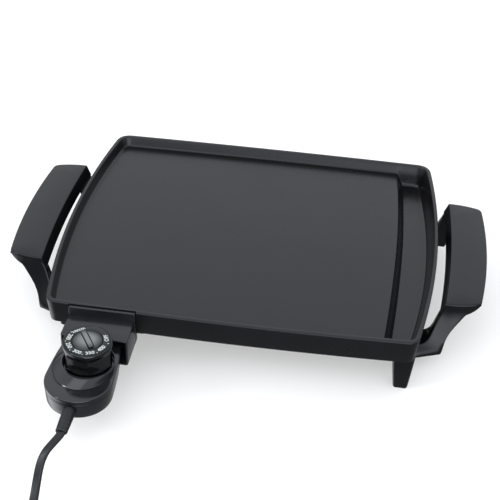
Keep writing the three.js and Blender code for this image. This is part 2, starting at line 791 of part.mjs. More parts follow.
/** The tapered sleeve round the cord, with a collar inside the case. */
function makeStrainRelief() {
  const { x, z, caseY, tipY } = CORD_EXIT;
  const profile = [
    [0, tipY],
    [3, tipY],
    [4.25, caseY - 0.4],
    [4.9, caseY - 0.2],
    [4.9, caseY + 0.1],
    [3.6, caseY + 0.1],
    [3.6, -190.9],
    [4.4, -190.9],
    [4.4, -188.6],
    [0, -188.6],
  ];
  return turnedAlongY(profile, x, z, 16);
}

function makeWire(side) {
  const route = [
    [side * 2.2, -187.5, -21],
    [side * 4.6, -185.9, -21],
    [side * 8, -182.5, -21],
    [side * 10.2, -176, -20.6],
    [side * 10.2, -168, -20.2],
    [side * 10.4, -158, -19.8],
    [side * 12, -151, PIN.z],
    [side * PIN.spread, -147.4, PIN.z],
  ];
  return tube(route, roundSection(1, 6), 16);
}

// ---------------------------------------------------------------- cord

/** The coil's outer shape, grown by a gap. */
function coilRing(gap = 0) {
  const { x, y, inner, outer, bottom, top } = COIL;
  const [r0, r1, z0, z1] = [inner - gap, outer + gap, bottom - gap, top + gap];
  const soft = 1.6;
  const profile = [
    [r0, z0 + soft],
    [r0 + soft, z0],
    [r1 - soft, z0],
    [r1, z0 + soft],
    [r1, z1 - soft],
    [r1 - soft, z1],
    [r0 + soft, z1],
    [r0, z1 - soft],
    [r0, z0 + soft],
  ];
  return turned(profile, x, y, 32);
}

function cordTube(route, steps) {
  return tube(route, roundSection(CORD.width / 2, 8, CORD.thick / CORD.width), steps).subtract(coilRing(FIT));
}

/** The band that holds the turns together. */
function makeTie() {
  const { inner, outer, bottom, top } = COIL;
  const band = 0.7;
  const [r0, r1, z0, z1] = [inner - FIT, outer + FIT, bottom - FIT, top + FIT];
  const loop = cut(
    box([r0 - band, r1 + band], [-3, 3], [z0 - band, z1 + band]),
    box([r0, r1], [-4, 4], [z0, z1]),
  );
  return loop.translate([COIL.x, COIL.y, 0]);
}

function makePlugBody() {
  const { x, y, z, length } = PLUG;
  const section = (halfY, halfZ) => roundedRectangle(y, z, halfY, halfZ, Math.min(halfY, halfZ) * 0.6);
  const halves = [[3.6, 3], [4.2, 3.4], [10.5, 6.4], [11.5, 6.6], [11, 6.2]];
  const outlines = halves.map(([halfY, halfZ]) => section(halfY, halfZ));
  const stations = [0, 9, 16, 24, length];
  // Drawn upright along z and then laid down along x.
  const standing = stack(outlines, stations);
  return standing.rotate([90, 0, 90]).translate([x, 0, 0]);
}

function makePlugBlade(side) {
  const { x, y, z, length } = PLUG;
  const middle = y + side * 6.35;
  const start = x + length + FIT;
  return box([start, start + 16.5], [middle - 0.75, middle + 0.75], [z - 3.15, z + 3.15]);
}

// ---------------------------------------------------------------- assembly

const model = new THREE.Group();
const griddle = new THREE.Group();
griddle.position.set(0, TRAY_BACK_SHIFT, RIM_HEIGHT);
model.add(griddle);
const control = new THREE.Group();
control.position.set(CONTROL_X, 0, 0);
griddle.add(control);

griddle.add(piece('griddle_tray', makeTray(), NONSTICK));
griddle.add(piece('heating_element', elementTube(ELEMENT.radius, 8), STEEL));
griddle.add(piece('probe_guard', makeGuard(), GUARD_PLASTIC));
for (const [side, word] of [[-1, 'left'], [1, 'right']]) {
  griddle.add(piece(`terminal_pin_${word}`, makeTerminalPin(side), STEEL));
  griddle.add(piece(`pin_insulator_${word}`, makeInsulator(side), CERAMIC));
}
GUARD_SCREWS.forEach(([x, y], i) => {
  griddle.add(piece(`guard_screw_${i + 1}`, makeScrew(x, y, -22 - FIT, -15), STEEL));
});

const rightHandle = makeRightHandle();
griddle.add(piece('handle_right', rightHandle, MOULDED));
griddle.add(piece('handle_left', rightHandle.mirror([1, 0, 0]), MOULDED));
const seat = BOSS.bottom - 4 - FIT;
HANDLE_PLACES.forEach(([x, y], i) => {
  griddle.add(piece(`handle_screw_${i + 1}`, makeScrew(x, y, seat, BOSS.holeTop - 1), STEEL));
});
const guardSeat = GUARD_FOOT.bossBottom - 4 - FIT;
const feet = [
  ['front_right', ...FOOT_PLACES[0].slice(0, 2), FOOT.topZ, BOSS.bottom, seat, BOSS.holeTop - 1],
  ['back_right', ...FOOT_PLACES[1].slice(0, 2), FOOT.topZ, BOSS.bottom, seat, BOSS.holeTop - 1],
  ['back_left', ...FOOT_PLACES[2].slice(0, 2), FOOT.topZ, BOSS.bottom, seat, BOSS.holeTop - 1],
  ['front_left', GUARD_FOOT.x, GUARD_FOOT.y, GUARD.bottom - FIT, GUARD_FOOT.bossBottom, guardSeat, -29.2],
];
for (const [word, x, y, topZ, bossBottom, screwSeat, tipZ] of feet) {
  griddle.add(piece(`foot_${word}`, makeFoot(x, y, topZ, bossBottom), MOULDED));
  griddle.add(piece(`foot_screw_${word}`, makeScrew(x, y, screwSeat, tipZ), STEEL));
}

control.add(piece('control_upper_case', makeUpperCase(), GUARD_PLASTIC));
control.add(piece('control_lower_case', makeLowerCase(), GUARD_PLASTIC));
CASE_SCREWS.forEach((place, i) => {
  control.add(piece(`case_screw_${i + 1}`, makeCaseScrew(place), STEEL));
});
control.add(piece('dial_knob', makeDialKnob(), DIAL_PLASTIC));
control.add(piece('dial_plate', makeDialPlate(), DIAL_PRINT));
control.add(piece('dial_cap', makeDialCap(), SATIN));
control.add(piece('adjusting_shaft', upright(DIAL.shaft, DIAL.x, DIAL.y, -20.6, 3.7, 12), BRASS));
control.add(piece('shaft_bushing', makeShaftBushing(), BRASS));
control.add(piece('thermostat_frame', makeThermostatFrame(), STEEL));
control.add(piece('push_pin', upright(1, DIAL.x, DIAL.y, -22.8, -20.9, 10), CERAMIC));
control.add(piece('blade_block', makeBladeBlock(), CERAMIC));
control.add(piece('fixed_blade', makeBlade(BLADES.fixedZ, BLADES.tipY), BRASS));
control.add(piece('moving_blade', makeBlade(BLADES.movingZ, BLADES.tipY - 1), BRASS));
control.add(piece('probe_tube', makeProbeTube(), STEEL));
control.add(piece('probe_rod', rodAlongY(1.1, 0, PIN.z, PROBE.endY - 0.3, PROBE.tipY - 3.5, 10), STEEL));
for (const [side, word] of [[-1, 'left'], [1, 'right']]) {
  control.add(piece(`contact_sleeve_${word}`, makeSleeve(side), BRASS));
  control.add(piece(`supply_wire_${word}`, makeWire(side), CORD_RUBBER));
}
control.add(piece('strain_relief', makeStrainRelief(), CORD_RUBBER));

griddle.add(piece('power_cord', cordTube(CORD_ROUTE, 24), CORD_RUBBER));
griddle.add(piece('cord_coil', coilRing(), CORD_RUBBER));
griddle.add(piece('cord_tail', cordTube(TAIL_ROUTE, 12), CORD_RUBBER));
griddle.add(piece('cord_tie', makeTie(), CORD_RUBBER));
griddle.add(piece('plug_body', makePlugBody(), CORD_RUBBER));
griddle.add(piece('plug_blade_1', makePlugBlade(-1), BRASS));
griddle.add(piece('plug_blade_2', makePlugBlade(1), BRASS));

export default model;
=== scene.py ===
"""Looks of an electric griddle: its tray, handles, feet, plug-in heat control, dial and cord.

Helper shapes work in millimetres in the tray's frame: z = 0 is the rim's plane, x = y = 0 the tray's centre.
"""

import json
import math

import bmesh
import bpy
from mathutils import Matrix, Vector


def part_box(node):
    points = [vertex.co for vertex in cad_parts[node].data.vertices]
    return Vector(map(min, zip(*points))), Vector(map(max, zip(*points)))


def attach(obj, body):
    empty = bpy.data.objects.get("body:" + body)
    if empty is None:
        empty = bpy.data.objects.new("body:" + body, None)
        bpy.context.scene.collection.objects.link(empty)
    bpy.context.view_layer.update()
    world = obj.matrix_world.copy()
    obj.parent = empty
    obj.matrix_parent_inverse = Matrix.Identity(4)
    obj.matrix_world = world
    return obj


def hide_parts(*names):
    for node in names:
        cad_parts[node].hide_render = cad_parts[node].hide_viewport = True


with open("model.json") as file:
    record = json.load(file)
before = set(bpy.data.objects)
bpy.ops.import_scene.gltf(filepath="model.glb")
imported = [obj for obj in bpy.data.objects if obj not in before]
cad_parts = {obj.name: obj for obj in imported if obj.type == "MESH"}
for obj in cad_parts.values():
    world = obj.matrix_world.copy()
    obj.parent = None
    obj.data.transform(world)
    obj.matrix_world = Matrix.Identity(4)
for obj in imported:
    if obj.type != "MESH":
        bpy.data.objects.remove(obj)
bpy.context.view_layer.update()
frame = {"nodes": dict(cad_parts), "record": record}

MM = 0.001
TRAY_HALF_X = 127.8
TRAY_HALF_Y = 114.0
SIDE_BOW = 10.0
FRONT_BOW = 3.3
BACK_BOW = 1.2
PLATE = -7.0
TROUGH = -16.5
TRAY_BOTTOM = -19.2
PLATE_UNDERSIDE, TROUGH_UNDERSIDE = -11.5, -17.4
FIT = 0.3
FOOT_TOP = TRAY_BOTTOM - FIT
FOOT_X, FOOT_FRONT_Y, FOOT_BACK_Y = 119.6, -97.4, 98
BOSS_BOTTOM = -27
HANDLE_SCREW_X, HANDLE_SCREW_Y = 119.5, 60
CONTROL_X = -88.9
DIAL_X, DIAL_Y = CONTROL_X + 3.1, -159.5
PIN_SPREAD, PIN_Z = 12.7, -19.5
TAB_SPREAD, TAB_Y = 24.8, -104.5
GUARD_FRONT_Y, GUARD_BACK_Y = -139, -114.5
GUARD_BOTTOM, GUARD_BOSS_BOTTOM = -28, -35
GUARD_FOOT_X, GUARD_FOOT_Y = -94, -125
CORD_EXIT_X, CORD_EXIT_Z = CONTROL_X - 0.6, -21

tray_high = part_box("griddle_tray")[1]
RIM = tray_high.z
TRAY_Y = tray_high.y - (TRAY_HALF_Y + BACK_BOW) * MM
FLOOR = -RIM / MM


def place(x, y, z):
    """A point of the tray's frame, in metres in the row frame."""
    return Vector((x * MM, y * MM + TRAY_Y, z * MM + RIM))


def link(name, data):
    """A new object in the scene."""
    made = bpy.data.objects.new(name, data)
    bpy.context.scene.collection.objects.link(made)
    return made


# ---- camera


CAMERA_TURN, CAMERA_RISE, CAMERA_ROLL = 7.21, 35.78, -2.13
CAMERA_DISTANCE = 0.91085
LENS = 89.93


def make_camera():
    """A long lens a little right of the front, looking down on the tray, turned slightly on its axis."""
    turn, rise, roll = (math.radians(a) for a in (CAMERA_TURN, CAMERA_RISE, CAMERA_ROLL))
    back = Vector((math.sin(turn) * math.cos(rise), -math.cos(turn) * math.cos(rise), math.sin(rise)))
    level = Vector((math.cos(turn), math.sin(turn), 0))
    up = back.cross(level)
    right = level * math.cos(roll) - up * math.sin(roll)
    data = bpy.data.cameras.new("camera")
    data.lens = LENS
    data.sensor_width = 36
    data.clip_end = 20
    camera = link("camera", data)
    axes = Matrix((right, back.cross(right), back)).transposed()
    target = place(1.82, -29.1, 0)
    camera.matrix_world = Matrix.Translation(target + back * CAMERA_DISTANCE) @ axes.to_4x4()
    bpy.context.scene.camera = camera


make_camera()

# ---- materials


def node(tree, kind, **inputs):
    """A shader node with its inputs set or linked; an underscore stands for a space in a socket's name."""
    made = tree.nodes.new(kind)
    for key, value in inputs.items():
        socket = made.inputs[key.replace("_", " ")]
        if hasattr(value, "is_output"):
            tree.links.new(value, socket)
        else:
            socket.default_value = value
    return made


def noise(tree, scale, detail, roughness, stretch=(1, 1, 1)):
    """A cloudy factor, laid out in the object's own coordinates."""
    coordinates = tree.nodes.new("ShaderNodeTexCoord").outputs["Object"]
    if stretch != (1, 1, 1):
        coordinates = node(tree, "ShaderNodeMapping", Vector=coordinates, Scale=stretch).outputs[0]
    made = node(
        tree, "ShaderNodeTexNoise", Vector=coordinates, Scale=scale, Detail=detail, Roughness=roughness
    )
    return made.outputs["Fac"]


def ramp(tree, factor, low, high, start=0.3, end=0.7):
    """A colour between two, as the factor goes from start to end."""
    made = node(tree, "ShaderNodeValToRGB", Fac=factor)
    made.color_ramp.elements[0].position = start
    made.color_ramp.elements[1].position = end
    made.color_ramp.elements[0].color = (*low, 1)
    made.color_ramp.elements[1].color = (*high, 1)
    return made.outputs["Color"]


def spread(tree, factor, low, high, start=0.3, end=0.7):
    """A number that goes from low to high, as the factor goes from start to end."""
    ends = {"From_Min": start, "From_Max": end, "To_Min": low, "To_Max": high}
    return node(tree, "ShaderNodeMapRange", Value=factor, **ends).outputs["Result"]


def shader(name, colour, roughness, metallic=0.0, vary=0.2, blotch=45.0, grain=2200.0, bump=0.02,
           stretch=(1, 1, 1), rough_vary=0.05, specular=0.5):
    """A moulded, cast or rolled surface: mottled colour, uneven gloss and a fine grain."""
    material = bpy.data.materials.new(name)
    material.use_nodes = True
    tree = material.node_tree
    surface = tree.nodes["Principled BSDF"]
    surface.inputs["Metallic"].default_value = metallic
    surface.inputs["Specular IOR Level"].default_value = specular
    if not metallic:
        surface.inputs["Specular Tint"].default_value = (0.92, 0.94, 1.0, 1)
    cloudy = noise(tree, blotch, 4.0, 0.6)
    low = [c * (1 - vary) for c in colour]
    high = [min(c * (1 + vary), 1) for c in colour]
    tone = ramp(tree, cloudy, low, high)
    tree.links.new(tone, surface.inputs["Base Color"])
    gloss = spread(tree, noise(tree, blotch * 3.1, 5.0, 0.6), roughness - rough_vary, roughness + rough_vary)
    tree.links.new(gloss, surface.inputs["Roughness"])
    fine = noise(tree, grain, 2.0, 0.5, stretch)
    relief = node(tree, "ShaderNodeBump", Height=fine, Strength=1.0, Distance=bump * MM)
    tree.links.new(relief.outputs["Normal"], surface.inputs["Normal"])
    return material


NONSTICK = shader("nonstick", (0.0036, 0.0036, 0.0043), 0.27, grain=1500, bump=0.0012, blotch=9,
                  rough_vary=0.02, specular=0.27)
MOULDED = shader("moulded_black", (0.0034, 0.0034, 0.0042), 0.2, grain=2600, bump=0.003, specular=0.235)
GUARD = shader("guard_black", (0.0085, 0.0085, 0.0105), 0.22, grain=2600, bump=0.003, specular=0.33)
CASE = shader("control_black", (0.0075, 0.0078, 0.0098), 0.15, grain=2600, bump=0.003, specular=0.42)
DIAL = shader("dial_black", (0.001, 0.0016, 0.0015), 0.07, grain=1500, bump=0.002, rough_vary=0.02,
              specular=0.4)
DIAL_FACE = shader("dial_face", (0.003, 0.006, 0.0055), 0.3, grain=2600, bump=0.006, specular=0.3)
PRINT = shader("dial_print", (0.42, 0.45, 0.44), 0.5, vary=0.06, grain=3000, bump=0.01, specular=0.2)
SATIN = shader("satin_cap", (0.17, 0.18, 0.185), 0.34, metallic=1, vary=0.05, grain=900, bump=0.003)
STEEL = shader("bright_steel", (0.5, 0.5, 0.49), 0.3, metallic=1, vary=0.12, bump=0.006, stretch=(1, 0.05, 1))
ELEMENT_STEEL = shader("element_sheath", (0.2, 0.19, 0.175), 0.42, metallic=1, vary=0.3, blotch=70, bump=0.02)
ZINC = shader("plated_screws", (0.42, 0.42, 0.4), 0.36, metallic=1, vary=0.15, bump=0.01)
BRASS = shader("brass", (0.56, 0.38, 0.13), 0.32, metallic=1, vary=0.15, bump=0.008)
CERAMIC = shader("steatite", (0.68, 0.64, 0.55), 0.55, vary=0.06, grain=1800, bump=0.03)
RUBBER = shader("cord_rubber", (0.005, 0.005, 0.006), 0.36, grain=2400, bump=0.02, vary=0.25, specular=0.3)
WIRE = shader("wire_sleeve", (0.03, 0.03, 0.032), 0.45, bump=0.01)

SLOTS = {
    "nonstick_casting": NONSTICK,
    "element_steel": ELEMENT_STEEL,
    "terminal_steel": STEEL,
    "black_moulding": MOULDED,
    "guard_moulding": GUARD,
    "control_moulding": CASE,
    "dial_moulding": DIAL,
    "dial_print": DIAL_FACE,
    "satin_cap": SATIN,
    "screw_steel": ZINC,
    "brass": BRASS,
    "plated_steel": ZINC,
    "ceramic": CERAMIC,
    "cord_rubber": RUBBER,
    "wire_sleeve": WIRE,
    "tie_rubber": RUBBER,
    "plug_brass": BRASS,
}
NODE_SLOT = {entry["node"]: entry["material_slot"] for entry in frame["record"]["subparts"]}
NODE_BODY = {
    name: body for body, names in frame["record"]["behaviour"]["bodies"].items() for name in names
}

# ---- mesh helpers


def build(name, points, faces):
    """An object from points in the tray's frame and faces, with its faces pointing out."""
    mesh = bpy.data.meshes.new(name)
    mesh.from_pydata([place(*p) for p in points], [], faces)
    work = bmesh.new()
    work.from_mesh(mesh)
    bmesh.ops.remove_doubles(work, verts=work.verts, dist=1e-6)
    bmesh.ops.recalc_face_normals(work, faces=work.faces)
    work.to_mesh(mesh)
    work.free()
    return link(name, mesh)


def strips(rings, around, loop=False):
    """The faces between each ring of points and the next; loop joins the last ring to the first."""
    faces = []
    for r in range(rings if loop else rings - 1):
        a, b = r * around, (r + 1) % rings * around
        for i in range(around):
            j = (i + 1) % around
            faces.append((a + i, a + j, b + j, b + i))
    return faces


def loft(name, rings, loop=False):
    """A skin over rings of as many points each, closed by two caps or as a loop."""
    around = len(rings[0])
    points = [p for ring in rings for p in ring]
    faces = strips(len(rings), around, loop)
    if not loop:
        faces.append(tuple(reversed(range(around))))
        faces.append(tuple(range((len(rings) - 1) * around, len(rings) * around)))
    return build(name, points, faces)


def spaced(a, b, steps):
    """Even steps from a to b, both included."""
    return [a + (b - a) * i / steps for i in range(steps + 1)]


def clamp(value, low=0.0, high=1.0):
    return min(max(value, low), high)


def ease(share):
    """A share from 0 to 1, softened at both ends."""
    return share * share * (3 - 2 * share)


def oval(half_x, half_y, sides):
    """Points round an oval, from its right, counter-clockwise."""
    angles = [2 * math.pi * i / sides for i in range(sides)]
    return [(half_x * math.cos(a), half_y * math.sin(a)) for a in angles]


def bezier(a, corner, b, t):
    """A point of the curve from a to b that the corner pulls out."""
    return tuple((1 - t) ** 2 * p + 2 * t * (1 - t) * q + t * t * r for p, q, r in zip(a, corner, b))


def inset(outline, distance):
    """A counter-clockwise outline drawn in by a distance."""
    count = len(outline)
    result = []
    for i, (x, y) in enumerate(outline):
        x0, y0 = outline[i - 1]
        x1, y1 = outline[(i + 1) % count]
        before = Vector((x - x0, y - y0)).normalized()
        after = Vector((x1 - x, y1 - y)).normalized()
        first = Vector((-before.y, before.x))
        second = Vector((-after.y, after.x))
        move = (first + second) / max(1 + first.dot(second), 0.3)
        result.append((x + move.x * distance, y + move.y * distance))
    return result


def edge_profile(z0, z1, low=0.8, high=0.8, steps=4):
    """(inset, height) pairs of a wall from z0 to z1 with a quarter-round at each end."""
    angles = [math.pi / 2 * i / steps for i in range(steps + 1)]
    bottom = [(low * (1 - math.sin(a)), z0 + low * (1 - math.cos(a))) for a in angles]
    return bottom + [(high * (1 - math.cos(a)), z1 - high * (1 - math.sin(a))) for a in angles]


def slab(name, outline, z0, z1, low=0.8, high=0.8, turn=lambda x, y, z: (x, y, z)):
    """A level plate with rounded edges; turn may lay it another way up."""
    rings = []
    for move, z in edge_profile(z0, z1, low, high):
        rings.append([turn(x, y, z) for x, y in inset(outline, move)])
    return loft(name, rings)


def rectangle(x0, x1, y0, y1, radius, steps=5):
    """A rectangle with round corners, counter-clockwise."""
    points = []
    for cx, cy, start in (
        (x1 - radius, y0 + radius, -90),
        (x1 - radius, y1 - radius, 0),
        (x0 + radius, y1 - radius, 90),
        (x0 + radius, y0 + radius, 180),
    ):
        for i in range(steps + 1):
            angle = math.radians(start + 90 * i / steps)
            points.append((cx + radius * math.cos(angle), cy + radius * math.sin(angle)))
    return points


def block(name, xs, ys, zs, radius=0.6, edge=0.4):
    """An upright box with round corners and soft edges."""
    return slab(name, rectangle(*xs, *ys, radius), *zs, edge, edge)


AXIS_RADIUS = 1e-3


def skin(name, rings, profile):
    """A loft over a turned profile's rings, joined end to end where the profile closes on itself."""
    closed = profile[0] == profile[-1]
    return loft(name, rings[:-1] if closed else rings, loop=closed)


def turned(name, profile, x, y, sides=48, shape=lambda angle, z: 1.0):
    """A turned piece about an upright axis, from (radius, z) pairs; shape may flute it."""
    rings = []
    for radius, z in profile:
        ring = []
        for i in range(sides):
            angle = 2 * math.pi * i / sides
            size = max(radius, AXIS_RADIUS) * shape(angle, z)
            ring.append((x + size * math.cos(angle), y + size * math.sin(angle), z))
        rings.append(ring)
    return skin(name, rings, profile)


def turned_y(name, profile, x, z, sides=32):
    """The same about an axis along y, from (radius, y) pairs."""
    rings = []
    for radius, y in profile:
        size = max(radius, AXIS_RADIUS)
        rings.append([(x + a, y, z + b) for a, b in oval(size, size, sides)])
    return skin(name, rings, profile)


def smooth_path(points, step):
    """A dense Catmull-Rom line through the points."""
    dense = []
    last = len(points) - 1
    for i in range(last):
        p0, p1, p2, p3 = (Vector(points[min(max(k, 0), last)]) for k in range(i - 1, i + 3))
        count = max(int((p2 - p1).length / step), 1)
        for k in range(count):
            t = k / count
            dense.append(
                0.5
                * (
                    2 * p1
                    + (p2 - p0) * t
                    + (2 * p0 - 5 * p1 + 4 * p2 - p3) * t * t
                    + (3 * p1 - p0 - 3 * p2 + p3) * t**3
                )
            )
    dense.append(Vector(points[-1]))
    return dense


def sweep(name, path, section):
    """A tube of (across, up) points along a path, its width kept level."""
    rings = []
    for i, here in enumerate(path):
        ahead = (path[min(i + 1, len(path) - 1)] - path[max(i - 1, 0)]).normalized()
        across = ahead.cross(Vector((0, 0, 1))).normalized()
        up = across.cross(ahead)
        rings.append([tuple(here + across * u + up * v) for u, v in section])
    return loft(name, rings)


def worked_out(piece):
    """The mesh of a piece after its modifiers, or of its lettering."""
    bpy.context.view_layer.update()
    return bpy.data.meshes.new_from_object(piece.evaluated_get(bpy.context.evaluated_depsgraph_get()))


def combine(target, other, operation):
    """Joins other to target, or cuts it out of target, and removes it."""
    change = target.modifiers.new("combine", "BOOLEAN")
    change.operation = operation
    change.solver = "EXACT"
    change.object = other
    result = worked_out(target)
    target.modifiers.clear()
    target.data = result
    bpy.data.objects.remove(other)


def add(target, *others):
    """Joins the others to target."""
    for other in others:
        combine(target, other, "UNION")


def cut(target, *others):
    """Cuts the others out of target."""
    for other in others:
        combine(target, other, "DIFFERENCE")


def merge(name, parts):
    """One object that holds several separate shells."""
    work = bmesh.new()
    for part in parts:
        work.from_mesh(part.data)
        bpy.data.objects.remove(part)
    mesh = bpy.data.meshes.new(name)
    work.to_mesh(mesh)
    work.free()
    return link(name, mesh)


SHARP = 34


def finish(piece, nodes, sharp=SHARP):
    """Shading, finish and place in the model of a piece that stands for CAD nodes."""
    nodes = [nodes] if isinstance(nodes, str) else nodes
    slot = NODE_SLOT[nodes[0]]
    piece.data.materials.clear()
    piece.data.materials.append(SLOTS[slot])
    work = bmesh.new()
    work.from_mesh(piece.data)
    bmesh.ops.dissolve_degenerate(work, edges=work.edges, dist=2e-6)
    bmesh.ops.triangulate(work, faces=[f for f in work.faces if len(f.verts) > 4])
    work.to_mesh(piece.data)
    work.free()
    piece.data.polygons.foreach_set("material_index", [0] * len(piece.data.polygons))
    piece.data.shade_smooth()
    piece.data.set_sharp_from_angle(angle=math.radians(sharp))
    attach(piece, NODE_BODY[nodes[0]])
    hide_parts(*nodes)
    return piece


# ---- cord

CORD_WIDTH = 5.6
CORD_THICK = 3.0
CORD_Z = FLOOR + 1.6
CORD_DROP = [
    (CORD_EXIT_X, -216.1, CORD_EXIT_Z), (-89.55, -217.7, -21), (-90.7, -221.2, -21.3), (-92.8, -225.4, -22.4),
    (-95.6, -229.8, -25), (-97.4, -234, -28.8), (-98.3, -238, -33.6), (-98.7, -242, -38.8),
    (-98.8, -246.6, -43.4), (-98.6, -252, -46.8), (-98.2, -258.5, -48.8), (-98, -266, CORD_Z),
    (-98, -275, CORD_Z),
]
PLUG = (-14.0, -330.0, -44.2)
CORD_TAIL = [
    (-48, -329.4, -46.2), (-38, -329.8, -46), (-29, -330, -45), (-22, -330, -44.2), (-14.3, -330, -44.2),
]
COIL_X, COIL_Y = -61.9, -293.0
COIL_RADIUS = 33.0
COIL_SLOT = 3.1
COIL_LOW, COIL_HIGH = FLOOR + 2.7, FLOOR + 5.5
COIL_TURNS = 3.25


def coil_points():
    """Flat turns: outside low, inside low, inside high, outside high."""
    outside, inside = COIL_RADIUS + COIL_SLOT, COIL_RADIUS - COIL_SLOT
    slots = [(outside, COIL_LOW), (inside, COIL_LOW), (inside, COIL_HIGH), (outside, COIL_HIGH)]
    per_turn = 24
    points = []
    for i in range(int(COIL_TURNS * per_turn) + 1):
        turn = i / per_turn
        which = min(int(turn + 0.06), 3)
        share = ease(clamp((turn + 0.06 - which) / 0.12)) if which else 1
        before, after = slots[max(which - 1, 0)], slots[which]
        radius = before[0] + (after[0] - before[0]) * share
        height = before[1] + (after[1] - before[1]) * share
        angle = math.pi + 2 * math.pi * turn
        points.append((COIL_X + radius * math.cos(angle), COIL_Y + radius * math.sin(angle), height))
    return points


def make_cord():
    """A flat two-core lead: it leaves the sleeve, drops to the table, is wound up and ends in a plug."""
    route = smooth_path(CORD_DROP + coil_points() + CORD_TAIL, 1.6)
    section = []
    for i in range(20):
        angle = 2 * math.pi * i / 20
        waist = 1 - 0.2 * math.exp(-((math.cos(angle) / 0.3) ** 2))
        wide = math.copysign(abs(math.cos(angle)) ** 0.8, math.cos(angle))
        section.append((CORD_WIDTH / 2 * wide, CORD_THICK / 2 * math.sin(angle) * waist))
    cord = sweep("power_lead", route, section)
    finish(cord, ["power_cord", "cord_coil", "cord_tail"], sharp=60)
    path = [place(*p) for p in route]
    length = sum((b - a).length for a, b in zip(path, path[1:]))
    return cord, path, length


def make_plug():
    """A moulded plug with a waisted grip, ribs and a face plate."""
    x0, y0, z0 = PLUG
    rings = []
    stations = [
        (0, 3.4, 2.7), (0.5, 3.7, 3.0), (8, 4.2, 3.4), (11, 5.4, 4.1), (14, 8.6, 5.7), (16, 10.3, 6.3),
        (16.4, 9.9, 6.0), (17.0, 9.9, 6.0), (17.4, 10.6, 6.4), (18.9, 10.8, 6.45), (19.3, 10.3, 6.1),
        (19.9, 10.3, 6.1), (20.3, 11.0, 6.5), (23.6, 11.4, 6.6), (24.0, 11.1, 6.3), (24.4, 11.1, 6.3),
        (24.8, 11.4, 6.6), (26.4, 11.2, 6.4), (27.0, 10.6, 5.9),
    ]
    for along, half_y, half_z in stations:
        outline = rectangle(-half_y, half_y, -half_z, half_z, min(half_y, half_z) * 0.75)
        rings.append([(x0 + along, y0 + y, z0 + z) for y, z in outline])
    body = loft("plug_moulding", rings)
    finish(body, "plug_body")
    blades = []
    for i, side in enumerate((-1, 1)):
        middle = y0 + side * 6.35
        outline = rectangle(x0 + 27.3, x0 + 43.8, middle - 0.75, middle + 0.75, 0.3, 2)
        blade = slab(f"plug_pin_{i + 1}", outline, z0 - 3.15, z0 + 3.15, 0.5, 0.5)
        hole = [(0, middle - 2), (1.6, middle - 2), (1.6, middle + 2), (0, middle + 2)]
        cut(blade, turned_y("hole", hole, x0 + 39, z0))
        blades.append(finish(blade, f"plug_blade_{i + 1}"))
    return [body] + blades


def make_tie():
    """A rubber strap round the turns with a stud through it."""
    inner, outer, low, high = 26.4, 39.6, FLOOR + 0.5, FLOOR + 7.6
    outline = rectangle(inner - 0.4, outer + 0.4, low, high, 1.8)
    rings = []
    edges = [(-3, 0.35), (-2.8, 0.1), (-2.4, 0), (2.4, 0), (2.8, 0.1), (3, 0.35), (3, 0.65), (-3, 0.65)]
    for y, move in edges:
        rings.append([(COIL_X + x, COIL_Y + y, z) for x, z in inset(outline, move)])
    return finish(loft("tie_strap", rings, loop=True), "cord_tie")


cord, cord_path, cord_length = make_cord()
cord_end_pieces = make_plug() + [make_tie()]

# ---- tray

CORNER_STEPS = 6
SIDE_STEPS = 44
PLATE_STEPS = 30
STEP_STEPS = 14
TROUGH_STEPS = 5
ZONE_STEPS = (PLATE_STEPS, STEP_STEPS, TROUGH_STEPS)
ROWS = SIDE_STEPS + 2 * CORNER_STEPS
COLUMNS = sum(ZONE_STEPS) + 2 * CORNER_STEPS
STEP_TOP = 106.9
STEP_RUN = 6.1
HOLLOW_END_X = 100


def step_edge(y):
    """x of the line where the plate falls into the trough."""
    return STEP_TOP - (2.6e-4 if y < 0 else 4.5e-4) * y * y


def floor_height(x, y):
    """The plate's level, falling to the trough in a soft S."""
    share = clamp((x - step_edge(y)) / STEP_RUN)
    return PLATE + (TROUGH - PLATE) * ease(share)


def tray_keys():
    """Which stretch of the outline each point belongs to, counter-clockwise from the front right corner."""
    keys = [("corner", 1, -1, 0.5 - 0.5 * i / CORNER_STEPS) for i in range(CORNER_STEPS)]
    keys += [("side", 1, 0, i / SIDE_STEPS) for i in range(SIDE_STEPS)]
    keys += [("corner", 1, 1, 0.5 * i / CORNER_STEPS) for i in range(2 * CORNER_STEPS)]
    for zone, steps in reversed(list(enumerate(ZONE_STEPS))):
        keys += [("end", 1, zone, i / steps) for i in range(steps, 0, -1)]
    keys += [("corner", -1, 1, 1 - 0.5 * i / CORNER_STEPS) for i in range(2 * CORNER_STEPS)]
    keys += [("side", -1, 0, 1 - i / SIDE_STEPS) for i in range(SIDE_STEPS)]
    keys += [("corner", -1, -1, 0.5 * i / CORNER_STEPS) for i in range(2 * CORNER_STEPS)]
    for zone, steps in enumerate(ZONE_STEPS):
        keys += [("end", -1, zone, i / steps) for i in range(steps)]
    keys += [("corner", 1, -1, 1 - 0.5 * i / CORNER_STEPS) for i in range(CORNER_STEPS)]
    return keys


